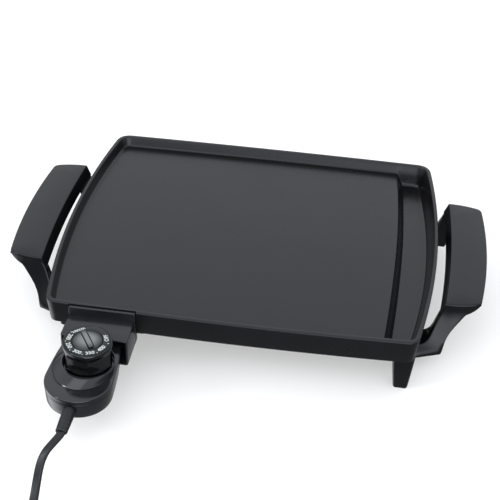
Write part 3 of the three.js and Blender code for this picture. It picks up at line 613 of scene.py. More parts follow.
def tray_point(key, inset_x, inset_y):
    """The point of a key on the tray's outline drawn in by the insets: bowed sides, bowed ends, corners."""
    kind, *rest = key
    half_x, half_y = TRAY_HALF_X - inset_x, TRAY_HALF_Y - inset_y
    front, back = max(7 - inset_x, 2), max(10 - inset_x, 4)

    def side(y):
        return half_x + SIDE_BOW * (1 - (y / half_y) ** 2)

    def end(sign, x):
        bow = BACK_BOW if sign > 0 else FRONT_BOW
        return sign * (half_y + bow * (1 - (x / half_x) ** 2))

    if kind == "side":
        sign, _, t = rest
        y = -half_y + front + (2 * half_y - front - back) * t
        return sign * side(y), y
    if kind == "end":
        sign, zone, t = rest
        reach = half_x - (back if sign > 0 else front)
        edge = step_edge(sign * half_y)
        stops = [-reach, edge, edge + STEP_RUN, reach]
        x = stops[zone] + (stops[zone + 1] - stops[zone]) * t
        return x, end(sign, x)
    sign_x, sign_y, t = rest
    size = back if sign_y > 0 else front
    y = sign_y * (half_y - size)
    x = half_x - size
    a = (sign_x * side(y), y)
    b = (sign_x * x, end(sign_y, x))
    return bezier(a, (sign_x * half_x, sign_y * half_y), b, t)


# (inset, height) pairs up the outside and over the rim, then down beside the plate or the trough.
OUTER_WALL = [(3.4, TRAY_BOTTOM), (2.6, -19.0), (2.15, -18.5), (1.98, -17.6), (0.16, -0.95)]
OUTER_WALL += [(0.22, -0.55), (0.42, -0.25), (0.72, -0.06), (1.05, 0.0), (2.1, 0.0)]
INNER_EDGE = [(2.4, -0.05), (2.62, -0.2), (2.78, -0.5)]
PLATE_WALL = INNER_EDGE + [(4.3, -4.9), (4.65, -5.9), (5.05, -6.6), (5.6, -6.93), (6.2, PLATE)]
TROUGH_WALL = INNER_EDGE + [(5.2, -9.0), (6.1, -13.9), (6.6, -15.5), (7.3, -16.3), (8.2, TROUGH)]


def tray_rings(keys):
    """The casting's skin from the edge of its underside, over the rim, to the edge of its floor."""
    rings = [[(*tray_point(key, move, move), z) for key in keys] for move, z in OUTER_WALL]
    low = [tray_point(key, 7.0, 8.2) for key in keys]
    shares = [(PLATE - floor_height(x, y)) / (PLATE - TROUGH) for x, y in low]
    for (i0, z0), (i1, z1) in zip(PLATE_WALL, TROUGH_WALL):
        ring = []
        for key, share in zip(keys, shares):
            move = i0 + (i1 - i0) * share
            x, y = tray_point(key, move, move + 1.2 * min(move / 2.7, 1))
            ring.append((x, y, z0 + (z1 - z0) * share))
        rings.append(ring)
    return rings


def blend_row(front, back, first, final):
    """One row of points across the floor, blended from the four lines round it."""
    t = (first.y - front[0].y) / (back[0].y - front[0].y)
    span = front[-1].x - front[0].x
    row = []
    for near, far in zip(front, back):
        s = (near.x - front[0].x) / span
        here = near * (1 - t) + far * t + first * (1 - s) + final * s
        here -= (front[0] * (1 - s) + front[-1] * s) * (1 - t)
        here -= (back[0] * (1 - s) + back[-1] * s) * t
        row.append(here)
    return row


def settle_row(row):
    """Slides a row's inner points along x, so that its middle columns run down the step."""
    top_column = CORNER_STEPS + PLATE_STEPS
    foot_column = top_column + STEP_STEPS
    first, top, foot, final = (row[i].x for i in (0, top_column, foot_column, -1))
    edge = step_edge(row[top_column].y)
    settled = []
    for i, here in enumerate(row[1:-1], 1):
        if i <= top_column:
            x = here.x + (edge - top) * (here.x - first) / (top - first)
        elif i <= foot_column:
            x = edge + (here.x - top) * STEP_RUN / (foot - top)
        else:
            start = edge + STEP_RUN
            x = start + (here.x - foot) * (final - start) / (final - foot)
        settled.append((x, here.y, floor_height(x, here.y)))
    return settled


def tray_floor(points, base):
    """Fills the ring of points that starts at base with the plate, the step and the trough's floor."""
    around = 2 * (ROWS + COLUMNS)
    right = [base + i for i in range(ROWS + 1)]
    back = [base + ROWS + COLUMNS - i for i in range(COLUMNS + 1)]
    left = [base + 2 * ROWS + COLUMNS - i for i in range(ROWS + 1)]
    front = [base + (2 * ROWS + COLUMNS + i) % around for i in range(COLUMNS + 1)]
    lines = [front]
    for j in range(1, ROWS):
        ends = [[Vector(points[k]) for k in line] for line in (front, back)]
        row = blend_row(*ends, Vector(points[left[j]]), Vector(points[right[j]]))
        inner = range(len(points), len(points) + COLUMNS - 1)
        points.extend(settle_row(row))
        lines.append([left[j], *inner, right[j]])
    lines.append(back)
    faces = []
    for line, behind in zip(lines, lines[1:]):
        for i in range(COLUMNS):
            faces.append((line[i], line[i + 1], behind[i + 1], behind[i]))
    return faces


def tray_hollow(keys):
    """The space under the plate, straight where it ends beside the trough."""
    clipped = [(min(x, HOLLOW_END_X), y) for x, y in (tray_point(key, 5.2, 5.2) for key in keys)]
    outline = []
    for before, here, after in zip(clipped[-1:] + clipped, clipped, clipped[1:] + clipped[:1]):
        if {before[0], here[0], after[0]} != {HOLLOW_END_X}:
            outline.append(here)
    return slab("hollow", outline, TRAY_BOTTOM - 1, -12, 0.01, 1.2)


def tray_bosses():
    """What the feet, the handles, the guard and the heating element fasten to, under the casting."""
    places = [(FOOT_X, FOOT_FRONT_Y), (FOOT_X, FOOT_BACK_Y), (-FOOT_X, FOOT_BACK_Y)]
    for y in (-HANDLE_SCREW_Y, HANDLE_SCREW_Y):
        places += [(HANDLE_SCREW_X, y), (-HANDLE_SCREW_X, y)]
    parts = []
    for x, y in places:
        top = TROUGH_UNDERSIDE if x > 0 else PLATE_UNDERSIDE
        parts.append(turned("boss", [(3.6, BOSS_BOTTOM), (4, BOSS_BOTTOM + 0.4), (4, top)], x, y))
    for side in (-TAB_SPREAD, TAB_SPREAD):
        parts.append(turned("boss", [(4, TRAY_BOTTOM), (4, PLATE_UNDERSIDE)], CONTROL_X + side, TAB_Y))
    heights = (TRAY_BOTTOM, PLATE_UNDERSIDE)
    for x, y, half_x, half_y in ((-101, 20, 7, 5), (88, 10, 7, 5), (0, 85, 5, 7), (10, -68, 5, 7)):
        parts.append(block("lug", (x - half_x, x + half_x), (y - half_y, y + half_y), heights, 1, 0.5))
    channel_x = (CONTROL_X - 5, CONTROL_X + 5)
    parts.append(block("channel", channel_x, (-106, -72), (PIN_Z - 4.5, PLATE_UNDERSIDE), 1, 0.5))
    return merge("additions", parts)


def make_tray():
    """The casting: its walls and floor, and its hollow, bosses and the guard's seat underneath."""
    keys = tray_keys()
    rings = tray_rings(keys)
    points = [p for ring in rings for p in ring]
    faces = strips(len(rings), len(keys))
    faces.append(tuple(reversed(range(len(keys)))))
    faces += tray_floor(points, (len(rings) - 1) * len(keys))
    tray = build("tray_casting", points, faces)
    cut(tray, tray_hollow(keys))
    add(tray, tray_bosses())
    below = TRAY_BOTTOM - 1
    pocket = block("pocket", (-111.1, -63.7), (-125, GUARD_BACK_Y + FIT), (below, 1), 0.3, 0.01)
    notch = block("notch", (-106.5, -70), (-120, -106), (below, PIN_Z + 4.2), 0.3, 0.01)
    bore = turned_y("bore", [(0, -107), (3, -107), (3, -71), (0, -71)], CONTROL_X, PIN_Z)
    cut(tray, pocket, notch, bore)
    return finish(tray, "griddle_tray", sharp=32)


make_tray()

# ---- heating element

ELEMENT_Z = -16.5
ELEMENT_BEND = 16


def bend(x, y, start):
    """A quarter turn of the element to the right, about its centre."""
    angles = [math.radians(a) for a in spaced(start, start - 90, 4)]
    return [(x + ELEMENT_BEND * math.cos(a), y + ELEMENT_BEND * math.sin(a)) for a in angles]


def make_element():
    """A sheathed loop under the plate, whose two ends drop to the terminals."""
    plan = [(-101, -104.6), (-101, -99), (-101, -88), (-101, -30), (-101, 30)]
    plan += bend(-85, 69, 180) + [(-40, 85), (30, 85)]
    plan += bend(72, 69, 90) + [(88, 30), (88, -20)]
    plan += bend(72, -52, 0) + [(30, -68), (-20, -68), (-56.2, -68)]
    plan += [(-69.2, -70.5), (-74.8, -77), (-76.2, -86), (-76.2, -99), (-76.2, -104.6)]
    route = [(x, y, PIN_Z if y < -95 else ELEMENT_Z) for x, y in plan]
    element = sweep("element_sheath", smooth_path(route, 2.5), oval(3.25, 3.25, 20))
    return finish(element, "heating_element", sharp=60)


make_element()

# ---- screws


def make_screw(name, x, y, seat, tip):
    """A pan-head screw with a cross recess, its head under the seat."""
    profile = [(0, seat - 2), (1.6, seat - 1.95), (2.3, seat - 1.7), (2.75, seat - 1.1), (2.9, seat - 0.2)]
    profile += [(2.9, seat), (1.3, seat)]
    pitch = 1.1
    turns = int((tip - 1.4 - seat) / pitch)
    for i in range(turns):
        z = seat + 0.3 + i * pitch
        profile += [(1.05, z), (1.3, z + pitch / 2)]
    profile += [(1.05, tip - 1), (0, tip)]
    screw = turned(name, profile, x, y, 20)
    for xs, ys in (((x - 1.5, x + 1.5), (y - 0.28, y + 0.28)), ((x - 0.28, x + 0.28), (y - 1.5, y + 1.5))):
        cut(screw, block("recess", xs, ys, (seat - 3, seat - 1.1), 0.1, 0.01))
    return screw


def make_screws():
    """Every screw, in the box of its CAD node."""
    for name in sorted(frame["nodes"]):
        if "_screw_" not in name:
            continue
        low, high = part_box(name)
        x, y = (low.x + high.x) / 2 / MM, ((low.y + high.y) / 2 - TRAY_Y) / MM
        bottom, tip = (low.z - RIM) / MM, (high.z - RIM) / MM
        seat = bottom + (1.5 if name.startswith("case") else 2)
        finish(make_screw(name + "_cross", x, y, seat, tip), name)


make_screws()

# ---- feet and handles


def socket(x, y, boss_bottom, seat):
    """The cutters that let a piece over a boss from below, with a screw's clearance and head room."""
    return [
        turned("socket", [(4.4, boss_bottom - 0.3), (4.4, boss_bottom + 20)], x, y),
        turned("socket", [(2, seat - 1), (2, boss_bottom)], x, y),
        turned("socket", [(3.4, FLOOR - 1), (3.4, seat)], x, y),
    ]


def make_foot(name, x, y, top, boss_bottom):
    """A tapered foot, softly rounded where it meets the table."""
    rings = []
    profile = [(3.9, FLOOR), (4.5, FLOOR + 0.25), (4.85, FLOOR + 0.9), (5.1, FLOOR + 2)]
    profile += [(6.6, (FLOOR + top) / 2), (7.95, top - 1.1), (7.95, top - 0.5), (7.7, top - 0.12), (7.2, top)]
    for half, z in profile:
        outline = rectangle(x - half, x + half, y - half, y + half, half * 0.3)
        rings.append([(*p, z) for p in outline])
    foot = loft("foot_moulding_" + name, rings)
    cut(foot, *socket(x, y, boss_bottom, boss_bottom - 4))
    return finish(foot, "foot_" + name)


make_foot("front_right", FOOT_X, FOOT_FRONT_Y, FOOT_TOP, BOSS_BOTTOM)
make_foot("back_right", FOOT_X, FOOT_BACK_Y, FOOT_TOP, BOSS_BOTTOM)
make_foot("back_left", -FOOT_X, FOOT_BACK_Y, FOOT_TOP, BOSS_BOTTOM)
make_foot("front_left", GUARD_FOOT_X, GUARD_FOOT_Y, GUARD_BOTTOM - FIT, GUARD_BOSS_BOTTOM)


GRIP_SHIFT = 1.5
GRIP_INNER_X = 147.4
GRIP_HALF_Y = 64.5


def end_face(x):
    """How far out in y the bowed end of the grip stands."""
    return GRIP_HALF_Y - 8.5e-3 * max(x - GRIP_INNER_X, 0) ** 2


def grip_outline(flare, tuck):
    """The grip in plan: flare moves its inner edge towards the tray, tuck draws its outer edge in."""
    inner_x, inner_bow, inner_half = GRIP_INNER_X - flare, 2.8, 64.4
    outer_x, outer_bow, outer_half = 174.0 - tuck, 4.0, 59.6
    across = spaced(inner_half, -inner_half, 24)
    inner = [(inner_x - inner_bow * (y / inner_half) ** 2, y) for y in across]
    corner = (outer_x - outer_bow, end_face(outer_x - outer_bow))
    end = [(x, end_face(x)) for x in spaced(GRIP_INNER_X, corner[0] - 4, 8)]
    reach = outer_half - 3
    outer = [(outer_x - outer_bow * (y / outer_half) ** 2, y) for y in spaced(-reach, reach, 24)]
    low = [bezier((end[-1][0], -end[-1][1]), (corner[0], -corner[1]), outer[0], t) for t in spaced(0, 1, 6)]
    high = [bezier(outer[-1], corner, end[-1], t) for t in spaced(0, 1, 6)]
    return inner + [(x, -y) for x, y in end] + low[1:-1] + outer + high[1:-1] + end[::-1]


ARM_OUTER = [
    (-5, 170), (-6, 168.5), (-7.6, 165.4), (-9.5, 162.7), (-12.7, 159.6), (-16.6, 156.8), (-20.7, 153.8),
    (-25, 151), (-28.4, 149.3), (-32, 148), (-35.5, 147.2), (-39, 146.5), (-40.4, 146.1), (-41, 145.8),
]
ARM_INNER = [
    (-5, 146.6), (-7.9, 144.3), (-10.8, 142.6), (-13.6, 141.6), (-16.6, 140.7), (-19.3, 139.9), (-22, 139.1),
    (-24.8, 138.2), (-27.6, 137.1), (-29.5, 136), (-30.9, 134.6), (-31.9, 132.8), (-32.4, 130.5),
    (-32.5, 127.5), (-32.55, 112), (-41, 112),
]
ARM_BACK = 58.5


def arm_face(x, z):
    """How far out in y the arm's face stands: flush with the grip's end, flared and splayed at its foot."""
    down = clamp((-5 - z) / 33)
    splay = 0.4 * max(GRIP_INNER_X - max(x, 127.5), 0) * down * down
    return end_face(x) - 0.1 + 9.5 * (1 - math.cos(down * math.pi / 2)) + splay


def at_height(contour, z):
    """x of a contour's (z, x) points at a height, from the top down."""
    for (z0, x0), (z1, x1) in zip(contour, contour[1:]):
        if z1 <= z:
            return x0 + (x1 - x0) * (z - z0) / (z1 - z0)
    return contour[-1][1]


def make_arm(side):
    """An arm that curves in under the grip and flares to its foot, with softened edges."""
    heights = {z for z, _ in ARM_OUTER + ARM_INNER} | {-14.8, -18.5, -23.3, -26.6, -33.8, -37.2}
    rings = []
    for z in sorted(heights) + [-4.5]:
        lift = max(-40.4 - z, 0)
        soft = 0.7 + 0.5 * lift
        x0, x1 = at_height(ARM_INNER, min(z, -5)), at_height(ARM_OUTER, min(z, -5)) - lift
        nip = 0.3 * soft
        y0, y1 = arm_face(x0, z), arm_face(x1, z)
        ring = [(x0, y0 - soft), (x0 + nip, y0 - nip)]
        ring += [(x, arm_face(x, z) - lift) for x in spaced(x0 + soft, x1 - soft, 12)]
        ring += [(x1 - nip, y1 - nip), (x1, y1 - soft), (x1, ARM_BACK + soft), (x1 - nip, ARM_BACK + nip)]
        ring += [(x, ARM_BACK + lift) for x in spaced(x1 - soft, x0 + soft, 12)]
        ring += [(x0 + nip, ARM_BACK + nip), (x0, ARM_BACK + soft)]
        rings.append([(x, side * y + GRIP_SHIFT, z) for x, y in ring])
    return loft("arm", rings)


def make_handle(word, side):
    """A bowed grip on two flared arms with a rail that screws up under the tray."""
    profile = edge_profile(-13, -3, 1.6, 1.2)
    profile[5:5] = [(0, z) for z in (-10.6, -9.8, -9.0, -8.2, -7.4, -6.6, -5.8, -5.0)]
    rings = []
    for move, z in profile:
        share = clamp((-4.2 - z) / 7.2)
        tuck = 0.125 * max(-4.6 - z, 0) ** 2
        outline = inset(grip_outline(2.9 * share, tuck), move)
        rings.append([(x, y + GRIP_SHIFT, z) for x, y in outline])
    grip = loft("handle_moulding_" + word, rings)
    add(grip, make_arm(1), make_arm(-1))
    add(grip, block("rail", (112, 127.5), (-72.5, 72.5), (-41, -33), 1, 0.6))
    for y in (-HANDLE_SCREW_Y, HANDLE_SCREW_Y):
        add(grip, block("post", (111.9, 127.1), (y - 7.6, y + 7.6), (-34, FOOT_TOP), 1.2, 0.5))
        cut(grip, *socket(HANDLE_SCREW_X, y, BOSS_BOTTOM, BOSS_BOTTOM - 4))
    if side < 0:
        grip.data.transform(Matrix.Scale(-1, 4, Vector((1, 0, 0))))
        grip.data.flip_normals()
    return finish(grip, "handle_" + word)


make_handle("right", 1)
make_handle("left", -1)

# ---- terminals and their guard


def make_guard():
    """The open-fronted housing round the terminals, with its flange, cheeks and screw tabs."""
    x = CONTROL_X + 1.3
    x0, x1 = x - 23, x + 23
    outline = rectangle(x0, x1, GUARD_FRONT_Y, GUARD_BACK_Y, 1.4)
    guard = slab("guard_moulding", outline, GUARD_BOTTOM, -7, 0.9, 0.7)
    rings = []
    for move, y in ((1.9, -117.3), (1.4, -117.6), (1.2, -118.2), (1.0, -134), (0.2, -138.6), (0, -139.3)):
        mouth = rectangle(x - 22 + move, x + 22 - move, -26.7 + move, -7.9 - move, 2 - move / 2)
        rings.append([(a, y, b) for a, b in mouth])
    cut(guard, loft("room", rings))
    face = rectangle(-110.6, -64.2, -19, -0.9, 0.9)
    flange = slab("flange", face, -116.8, GUARD_BACK_Y, 0.5, 0.2, lambda a, b, c: (a, c, b))
    add(guard, flange)
    for left in (x0, x1 - 1.8):
        add(guard, block("cheek", (left, left + 1.8), (-115.5, -109.5), (GUARD_BOTTOM, FOOT_TOP), 0.4, 0.3))
    for tab_x in (CONTROL_X - TAB_SPREAD, CONTROL_X + TAB_SPREAD):
        add(guard, block("tab", (tab_x - 5.4, tab_x + 5.4), (-111.2, -98.5), (-22, FOOT_TOP), 2, 0.4))
        cut(guard, turned("hole", [(1.9, -23), (1.9, -18)], tab_x, TAB_Y, 24))
    for side, radius in ((-PIN_SPREAD, 4.1), (PIN_SPREAD, 4.1), (0, 3.3)):
        hole = [(radius, GUARD_BACK_Y - 4), (radius, GUARD_BACK_Y + 1)]
        cut(guard, turned_y("hole", hole, CONTROL_X + side, PIN_Z))
    boss = [(3.6, GUARD_BOSS_BOTTOM), (4, GUARD_BOSS_BOTTOM + 0.4), (4, GUARD_BOTTOM + 0.5)]
    add(guard, turned("boss", boss, GUARD_FOOT_X, GUARD_FOOT_Y))
    hole = [(1.6, GUARD_BOSS_BOTTOM - 1), (1.6, GUARD_BOTTOM + 0.3)]
    cut(guard, turned("hole", hole, GUARD_FOOT_X, GUARD_FOOT_Y, 24))
    return finish(guard, "probe_guard")


def make_terminals():
    """The terminal pins with their beads, the control's sleeves over them, and the probe between them."""
    pin = [(0, -144), (0.9, -143.9), (1.5, -143.4), (1.9, -142.6), (2.2, -141.6), (2.2, -104.9), (0, -104.9)]
    bead = [(2.5, -119), (3.2, -119), (3.5, -118.7), (3.7, -118), (3.7, -114), (3.4, -113.6), (3.4, -112.6)]
    bead += [(3.7, -112.2), (3.7, -107), (3.4, -106.5), (2.5, -106.5), (2.5, -119)]
    sleeve = [(2.5, -147), (3.1, -147), (3.1, -144.6), (2.95, -144.4), (2.95, -143.8), (3.1, -143.6)]
    sleeve += [(3.1, -134), (2.8, -133.4), (2.5, -133.7), (2.5, -147)]
    for word, side in (("left", -PIN_SPREAD), ("right", PIN_SPREAD)):
        for name, profile, stands_for in (
            ("terminal_post_", pin, "terminal_pin_"),
            ("terminal_bead_", bead, "pin_insulator_"),
            ("contact_tube_", sleeve, "contact_sleeve_"),
        ):
            finish(turned_y(name + word, profile, CONTROL_X + side, PIN_Z), stands_for + word)
    probe = [(0, -77.5), (1.9, -78.5), (1.9, -149.6), (2.5, -149.6), (2.5, -79.2), (2.4, -78), (2.0, -77)]
    probe += [(1.3, -76.3), (0, -76)]
    finish(turned_y("probe_sheath", probe, CONTROL_X, PIN_Z), "probe_tube")


make_guard()
make_terminals()

# ---- heat control


CASE_RADIUS, CASE_END_Y = 22.7, -173
NOSE_X, NOSE_Y = (CONTROL_X - 18.8, CONTROL_X + 18.8), (-145, -131)
LID_LOW, TUB_HIGH = -16.25, -16.55


def case_outline():
    """The case in plan: a round end, slightly hollow flanks and a square mouth."""
    half_turn = spaced(math.pi, 2 * math.pi, 40)
    end = [(CONTROL_X + CASE_RADIUS * math.cos(a), CASE_END_Y + CASE_RADIUS * math.sin(a)) for a in half_turn]
    start = (CASE_RADIUS, CASE_END_Y)
    right = [bezier(start, (22.1, -158), (21, -148), t) for t in spaced(0, 1, 8)[1:]]
    right += [(20.4, -144), (20, -140.3)]
    flank = [(CONTROL_X + x, y) for x, y in right]
    return end + flank + [(2 * CONTROL_X - x, y) for x, y in reversed(flank)]


def collar_ring(radius, reach, lean, forward, z):
    """A round that reaches out further at the front; it leans right of and forward of the dial's foot."""
    ring = []
    for i in range(72):
        angle = 2 * math.pi * i / 72
        size = radius + reach * max(-math.sin(angle), 0) ** 2
        ring.append((CONTROL_X + lean + size * math.cos(angle), DIAL_Y - forward + size * math.sin(angle), z))
    return ring


def make_upper_case():
    """The lid, its nose over the terminals and the leaning collar round the dial."""
    outline = case_outline()
    lid = slab("case_lid", outline, LID_LOW, -13, 0.15, 0.9)
    add(lid, block("nose", NOSE_X, NOSE_Y, (LID_LOW, -13.3), 0.8, 0.5))
    cut(lid, slab("hollow", inset(outline, 2.1), -17, -15, 0.01, 0.3))
    collar = [(20.1, 3.7, 0, 1, -13.6), (20.1, 3.7, 0, 1, -12.95), (19.95, 3.6, 0, 1, -12.7)]
    collar += [(19.6, 3.3, 0.3, 1, -12.1), (19.1, 2.6, 1.2, 0.6, -10.9), (18.5, 1.9, 2.2, 0.3, -9.7)]
    collar += [(18.05, 1.3, 2.75, 0, -8.85), (17.8, 1.15, 2.85, 0, -8.58), (17.5, 1.0, 2.9, 0, -8.5)]
    add(lid, loft("collar", [collar_ring(*row) for row in collar]))
    groove = [(20.1, 3.7, 0, 1, -12.2), (20.1, 3.7, 0, 1, -13.45), (20.75, 3.7, 0, 1, -13.45)]
    groove += [(20.85, 3.7, 0, 1, -12.2)]
    cut(lid, loft("groove", [collar_ring(*row) for row in groove], loop=True))
    well = [(0, -13), (16.3, -13), (16.9, -12.4), (16.9, -9.1), (17.2, -8.6), (17.4, -8.3), (17.4, -5)]
    well += [(0, -5)]
    cut(lid, turned("well", well, DIAL_X, DIAL_Y, 72))
    cut(lid, turned("shaft_hole", [(0, -17), (5.2, -17), (5.2, -12), (0, -12)], DIAL_X, DIAL_Y))
    return finish(lid, "control_upper_case")


def rod_cutter(radius, y0, y1, x, z):
    """A round hole along y."""
    return turned_y("hole", [(0, y0), (radius, y0), (radius, y1), (0, y1)], x, z)


def make_lower_case():
    """The tub, with holes for the probe and the terminals in its nose, and its cord gland."""
    outline = case_outline()
    wall = [(3.4, -29), (2.5, -28.8), (1.75, -28.35), (1.15, -27.6), (0.8, -26.6), (0.5, -23), (0.3, -19)]
    wall += [(0.2, -17.2), (0.35, -16.75), (0.7, TUB_HIGH)]
    tub = loft("case_tub", [[(*p, z) for p in inset(outline, move)] for move, z in wall])
    add(tub, block("nose", NOSE_X, NOSE_Y, (-24.8, TUB_HIGH), 0.8, 0.6))
    cut(tub, slab("hollow", inset(outline, 2.6), -27, -15, 0.8, 0.01))
    for side, radius in ((-PIN_SPREAD, 2.9), (PIN_SPREAD, 2.9), (0, 2.8)):
        cut(tub, rod_cutter(radius, -143, -130, CONTROL_X + side, PIN_Z))
    cut(tub, rod_cutter(3.9, -200, -190, CORD_EXIT_X, CORD_EXIT_Z))
    for x, y in ((-15.2, -166), (15.2, -166), (0, -183)):
        cut(tub, turned("hole", [(0, -30), (3.3, -30), (3.3, -28.4), (0, -28.4)], CONTROL_X + x, y))
        cut(tub, turned("hole", [(0, -30), (1.9, -30), (1.9, -26), (0, -26)], CONTROL_X + x, y, 24))
    return finish(tub, "control_lower_case")


def make_strain_relief():
    """A smooth tapered sleeve that flattens towards the cord, with two grooves near its lip."""
    stations = [
        (-188.6, 0.5, 0.5), (-188.6, 4.4, 4.4), (-190.9, 4.4, 4.4), (-190.9, 3.6, 3.6), (-194.4, 3.6, 3.6),
        (-194.9, 4.2, 4.2), (-196.3, 4.5, 4.4), (-196.8, 4.5, 4.4), (-197.6, 4.4, 4.2), (-204, 4.2, 3.7),
        (-208.6, 4.1, 3.3), (-208.9, 3.7, 2.95), (-209.6, 3.7, 2.9), (-209.9, 4.05, 3.2), (-211.6, 4.0, 3.1),
        (-211.9, 3.6, 2.75), (-212.6, 3.6, 2.7), (-212.9, 3.95, 3.0), (-214.9, 3.9, 2.9), (-215.5, 3.6, 2.6),
        (-215.8, 3.1, 2.1), (-215.8, 0.5, 0.5),
    ]
    rings = []
    for y, half_x, half_z in stations:
        rings.append([(CORD_EXIT_X + a, y, CORD_EXIT_Z + b) for a, b in oval(half_x, half_z, 32)])
    return finish(loft("cord_sleeve", rings), "strain_relief")


SCOOP_START = math.radians(-75)
SCOOPS = 6
SCOOP_DEPTH = 0.1


def knob_shape(angle, z):
    """Finger scoops round the knob's side, fading out under its face and at its foot."""
    cycle = ((angle - SCOOP_START) * SCOOPS / (2 * math.pi)) % 1
    depth = (1 - (2 * cycle - 1) ** 2) ** 0.8
    fade = clamp((6.2 - z) / 4.2) * clamp((z + 10.4) / 3.5, 0.4)
    return 1 - SCOOP_DEPTH * depth * ease(fade)


def make_knob():
    """The hollow knob: a raised lip round its face, scooped sides, a rounded foot and a socket."""
    profile = [(0, 7.2), (15.0, 7.2), (15.15, 7.3), (15.25, 7.9), (15.4, 8.0), (15.75, 7.95), (16.1, 7.7)]
    profile += [(16.3, 7.25), (16.4, 6.6), (16.5, 5.8)]
    profile += [(16.55, z) for z in (5.2, 4.4, 3.6, 2.8, 2.0, 1.0, 0.0, -1.5, -3.0, -4.5, -6.0, -7.5, -8.6)]
    profile += [(16.3, -9.4), (15.9, -10.0), (15.4, -10.2), (14.4, -10.2), (13.9, -9.8), (13.7, 4.2)]
    profile += [(5, 4.7), (5, -8.3), (2.7, -8.3), (2.7, 4), (0, 4)]
    return finish(turned("knob_moulding", profile, DIAL_X, DIAL_Y, 192, knob_shape), "dial_knob", sharp=40)


make_upper_case()
make_lower_case()
make_strain_relief()
make_knob()

# ---- dial face

FACE_Z = 8.1
MARK_RADIUS = 12.5
CAP_BAR_ANGLE = 2.13


def about_dial(angle):
    """Turns points given from the dial's axis about it."""
    cosine, sine = math.cos(angle), math.sin(angle)
    return lambda x, y, z: (DIAL_X + x * cosine - y * sine, DIAL_Y + x * sine + y * cosine, z)


def make_dial_face():
    """The flat ring round the cap that carries the heat marks."""
    profile = [(10.3, 7.5), (14.95, 7.5), (15.0, 7.7), (14.9, 8.0), (14.7, FACE_Z), (10.6, FACE_Z)]
    profile += [(10.35, 8.0), (10.3, 7.5)]
    return finish(turned("dial_ring", profile, DIAL_X, DIAL_Y, 96), "dial_plate")


def make_mark(word, size, angle):
    """A printed word that reads from outside the ring."""
    curve = bpy.data.curves.new("mark", "FONT")
    curve.body = word
    curve.size = size * MM * 1.25
    curve.align_x = "CENTER"
    curve.align_y = "CENTER"
    curve.extrude = 0.03 * MM
    curve.offset = 0.07 * MM
    text = link("mark", curve)
    mesh = worked_out(text)
    bpy.data.objects.remove(text)
    centre = place(*about_dial(angle)(MARK_RADIUS, 0, FACE_Z + 0.04))
    mesh.transform(Matrix.Translation(centre) @ Matrix.Rotation(angle + math.pi / 2, 4, "Z"))
    return link("mark", mesh)


def make_numbers():
    """Heat marks printed round the ring, with a tick between each two."""
    words = [(131, "WARM", 2.3), (173, "200", 3.2), (213, "250", 3.2), (253, "300", 3.2), (292, "350", 3.2)]
    words += [(331, "400", 3.2), (22, "OFF", 3.0)]
    marks = [make_mark(word, size, math.radians(degrees)) for degrees, word, size in words]
    corners = [(13.5, -0.2), (14.6, -0.2), (14.6, 0.2), (13.5, 0.2)]
    for degrees in (152, 192, 232, 271, 311, 358):
        turn = about_dial(math.radians(degrees))
        marks.append(loft("tick", [[turn(*p, z) for p in corners] for z in (FACE_Z - 0.02, FACE_Z + 0.06)]))
    printed = merge("dial_marks", marks)
    printed.data.materials.append(PRINT)
    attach(printed, "dial")


def paint_cap_rim_shade(material):
    """Paints shade on the cap: the colour of its brushed finish darkens towards its rim."""
    tree = material.node_tree
    surface = tree.nodes["Principled BSDF"]
    tone = surface.inputs["Base Color"].links[0].from_socket
    coordinates = tree.nodes.new("ShaderNodeTexCoord").outputs["Object"]
    away = node(tree, "ShaderNodeVectorMath", Vector=coordinates)
    away.operation = "DISTANCE"
    away.inputs[1].default_value = place(DIAL_X, DIAL_Y, FACE_Z + 1.5)
    fade = spread(tree, away.outputs["Value"], 0.0, 0.85, 4.5 * MM, 9.6 * MM)
    rim_shade_mix = tree.nodes.new("ShaderNodeMixRGB")
    tree.links.new(fade, rim_shade_mix.inputs["Fac"])
    tree.links.new(tone, rim_shade_mix.inputs["Color1"])
    # painted shade: the dark colour that the cap is blended to towards its rim
    rim_shade_mix.inputs["Color2"].default_value = (0.012, 0.014, 0.014, 1)
    tree.links.new(rim_shade_mix.outputs["Color"], surface.inputs["Base Color"])


def make_cap():
    """The bright domed cap with a plain raised bar across it, a groove on each side of the bar."""
    # paints shade on the cap: its colour darkens towards its rim
    paint_cap_rim_shade(SATIN)
    profile = [(0, 7.5), (9.7, 7.5), (10.0, 7.7), (10.0, 8.05), (9.85, 8.3), (9.4, 8.55), (8.6, 8.85)]
    profile += [(7.2, 9.2), (5.6, 9.48), (4, 9.66), (2.4, 9.76), (1.0, 9.8), (0, 9.8)]
    cap = turned("cap_dome", profile, DIAL_X, DIAL_Y, 96)
    turn = about_dial(CAP_BAR_ANGLE)
    cut(cap, slab("groove", rectangle(-9.5, 9.5, -2.25, 2.25, 0.8), 8.2, 12, 0.1, 0.1, turn))
    finish(cap, "dial_cap")
    bar = slab("cap_bar", rectangle(-9.0, 9.0, -1.55, 1.55, 0.7), 8.1, 10.1, 0.05, 0.3, turn)
    bar.data.shade_smooth()
    bar.data.set_sharp_from_angle(angle=math.radians(SHARP))
    bar.data.materials.append(SATIN)
    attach(bar, "dial")
    floor = slab("cap_groove_floor", rectangle(-9.45, 9.45, -2.2, 2.2, 0.8), 8.1, 8.45, 0.02, 0.02, turn)
    floor.data.materials.append(DIAL)
    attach(floor, "dial")


make_dial_face()
make_numbers()
make_cap()

# ---- pieces that keep their CAD shape

for name, kept in frame["nodes"].items():
    if not kept.hide_render:
        kept.data.materials.clear()
        kept.data.materials.append(SLOTS[NODE_SLOT[name]])

# ---- floor and light


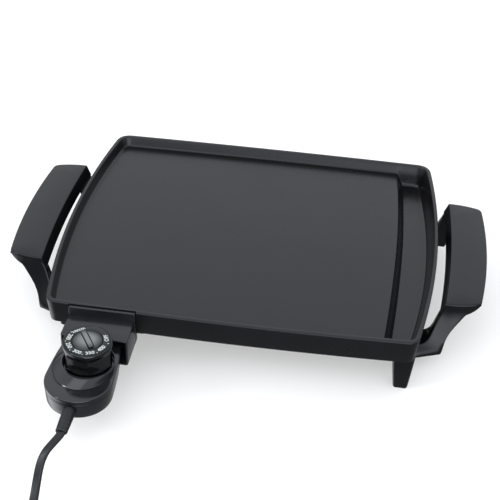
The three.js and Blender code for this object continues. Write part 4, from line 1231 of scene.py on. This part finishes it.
def make_floor():
    """Pale paper, lit a little from within, that the black mouldings don't reflect."""
    mesh = bpy.data.meshes.new("studio_floor")
    size = 6.0
    mesh.from_pydata([(-size, -size, 0), (size, -size, 0), (size, size, 0), (-size, size, 0)], [], [range(4)])
    floor = link("studio_floor", mesh)
    paper = shader(
        "studio_floor", (0.5, 0.5, 0.5), 0.7, vary=0.01, blotch=3, grain=400, bump=0.01, specular=0.1
    )
    surface = paper.node_tree.nodes["Principled BSDF"]
    surface.inputs["Emission Color"].default_value = (1, 1, 1, 1)
    surface.inputs["Emission Strength"].default_value = 0.38
    mesh.materials.append(paper)
    floor.visible_glossy = False


def make_light(name, position, target, size_x, size_y, power):
    data = bpy.data.lights.new(name, "AREA")
    data.shape = "RECTANGLE"
    data.size = size_x
    data.size_y = size_y
    data.energy = power
    light = link(name, data)
    light.location = position
    light.rotation_euler = (Vector(target) - Vector(position)).to_track_quat("-Z", "Y").to_euler()


def world_panel(tree, direction, toward, power, edge, full):
    """The strength of a soft bright panel that lies toward the given direction."""
    facing = node(tree, "ShaderNodeVectorMath", Vector=direction)
    facing.operation = "DOT_PRODUCT"
    facing.inputs[1].default_value = Vector(toward).normalized()
    return spread(tree, facing.outputs["Value"], 0.0, power, edge, full)


def make_world():
    """A white studio: dark below, bright from the horizon up, with panels in front and low at the left."""
    world = bpy.data.worlds.new("studio")
    bpy.context.scene.world = world
    world.use_nodes = True
    tree = world.node_tree
    direction = tree.nodes.new("ShaderNodeTexCoord").outputs["Generated"]
    height = node(tree, "ShaderNodeSeparateXYZ", Vector=direction).outputs["Z"]
    sky = spread(tree, height, 0.36, 1.6, -0.02, 0.5)
    total = sky
    front = world_panel(tree, direction, (0.3, -0.95, 0.06), 4.0, 0.87, 0.96)
    left = world_panel(tree, direction, (-0.85, -0.05, -0.55), 2.2, 0.8, 0.97)
    for panel in (front, left):
        add_up = tree.nodes.new("ShaderNodeMath")
        add_up.operation = "ADD"
        tree.links.new(total, add_up.inputs[0])
        tree.links.new(panel, add_up.inputs[1])
        total = add_up.outputs["Value"]
    background = tree.nodes["Background"]
    background.inputs["Color"].default_value = (0.96, 0.975, 1.0, 1)
    tree.links.new(total, background.inputs["Strength"])


make_floor()
make_world()
make_light("soft_left", (-1.5, -0.9, 1.1), (-0.02, 0, 0.03), 0.3, 0.5, 10)
make_light("soft_front", (-0.6, -1.1, 1.35), (0, 0, 0.03), 1.3, 1.3, 9)
bpy.context.scene.view_settings.view_transform = "Standard"
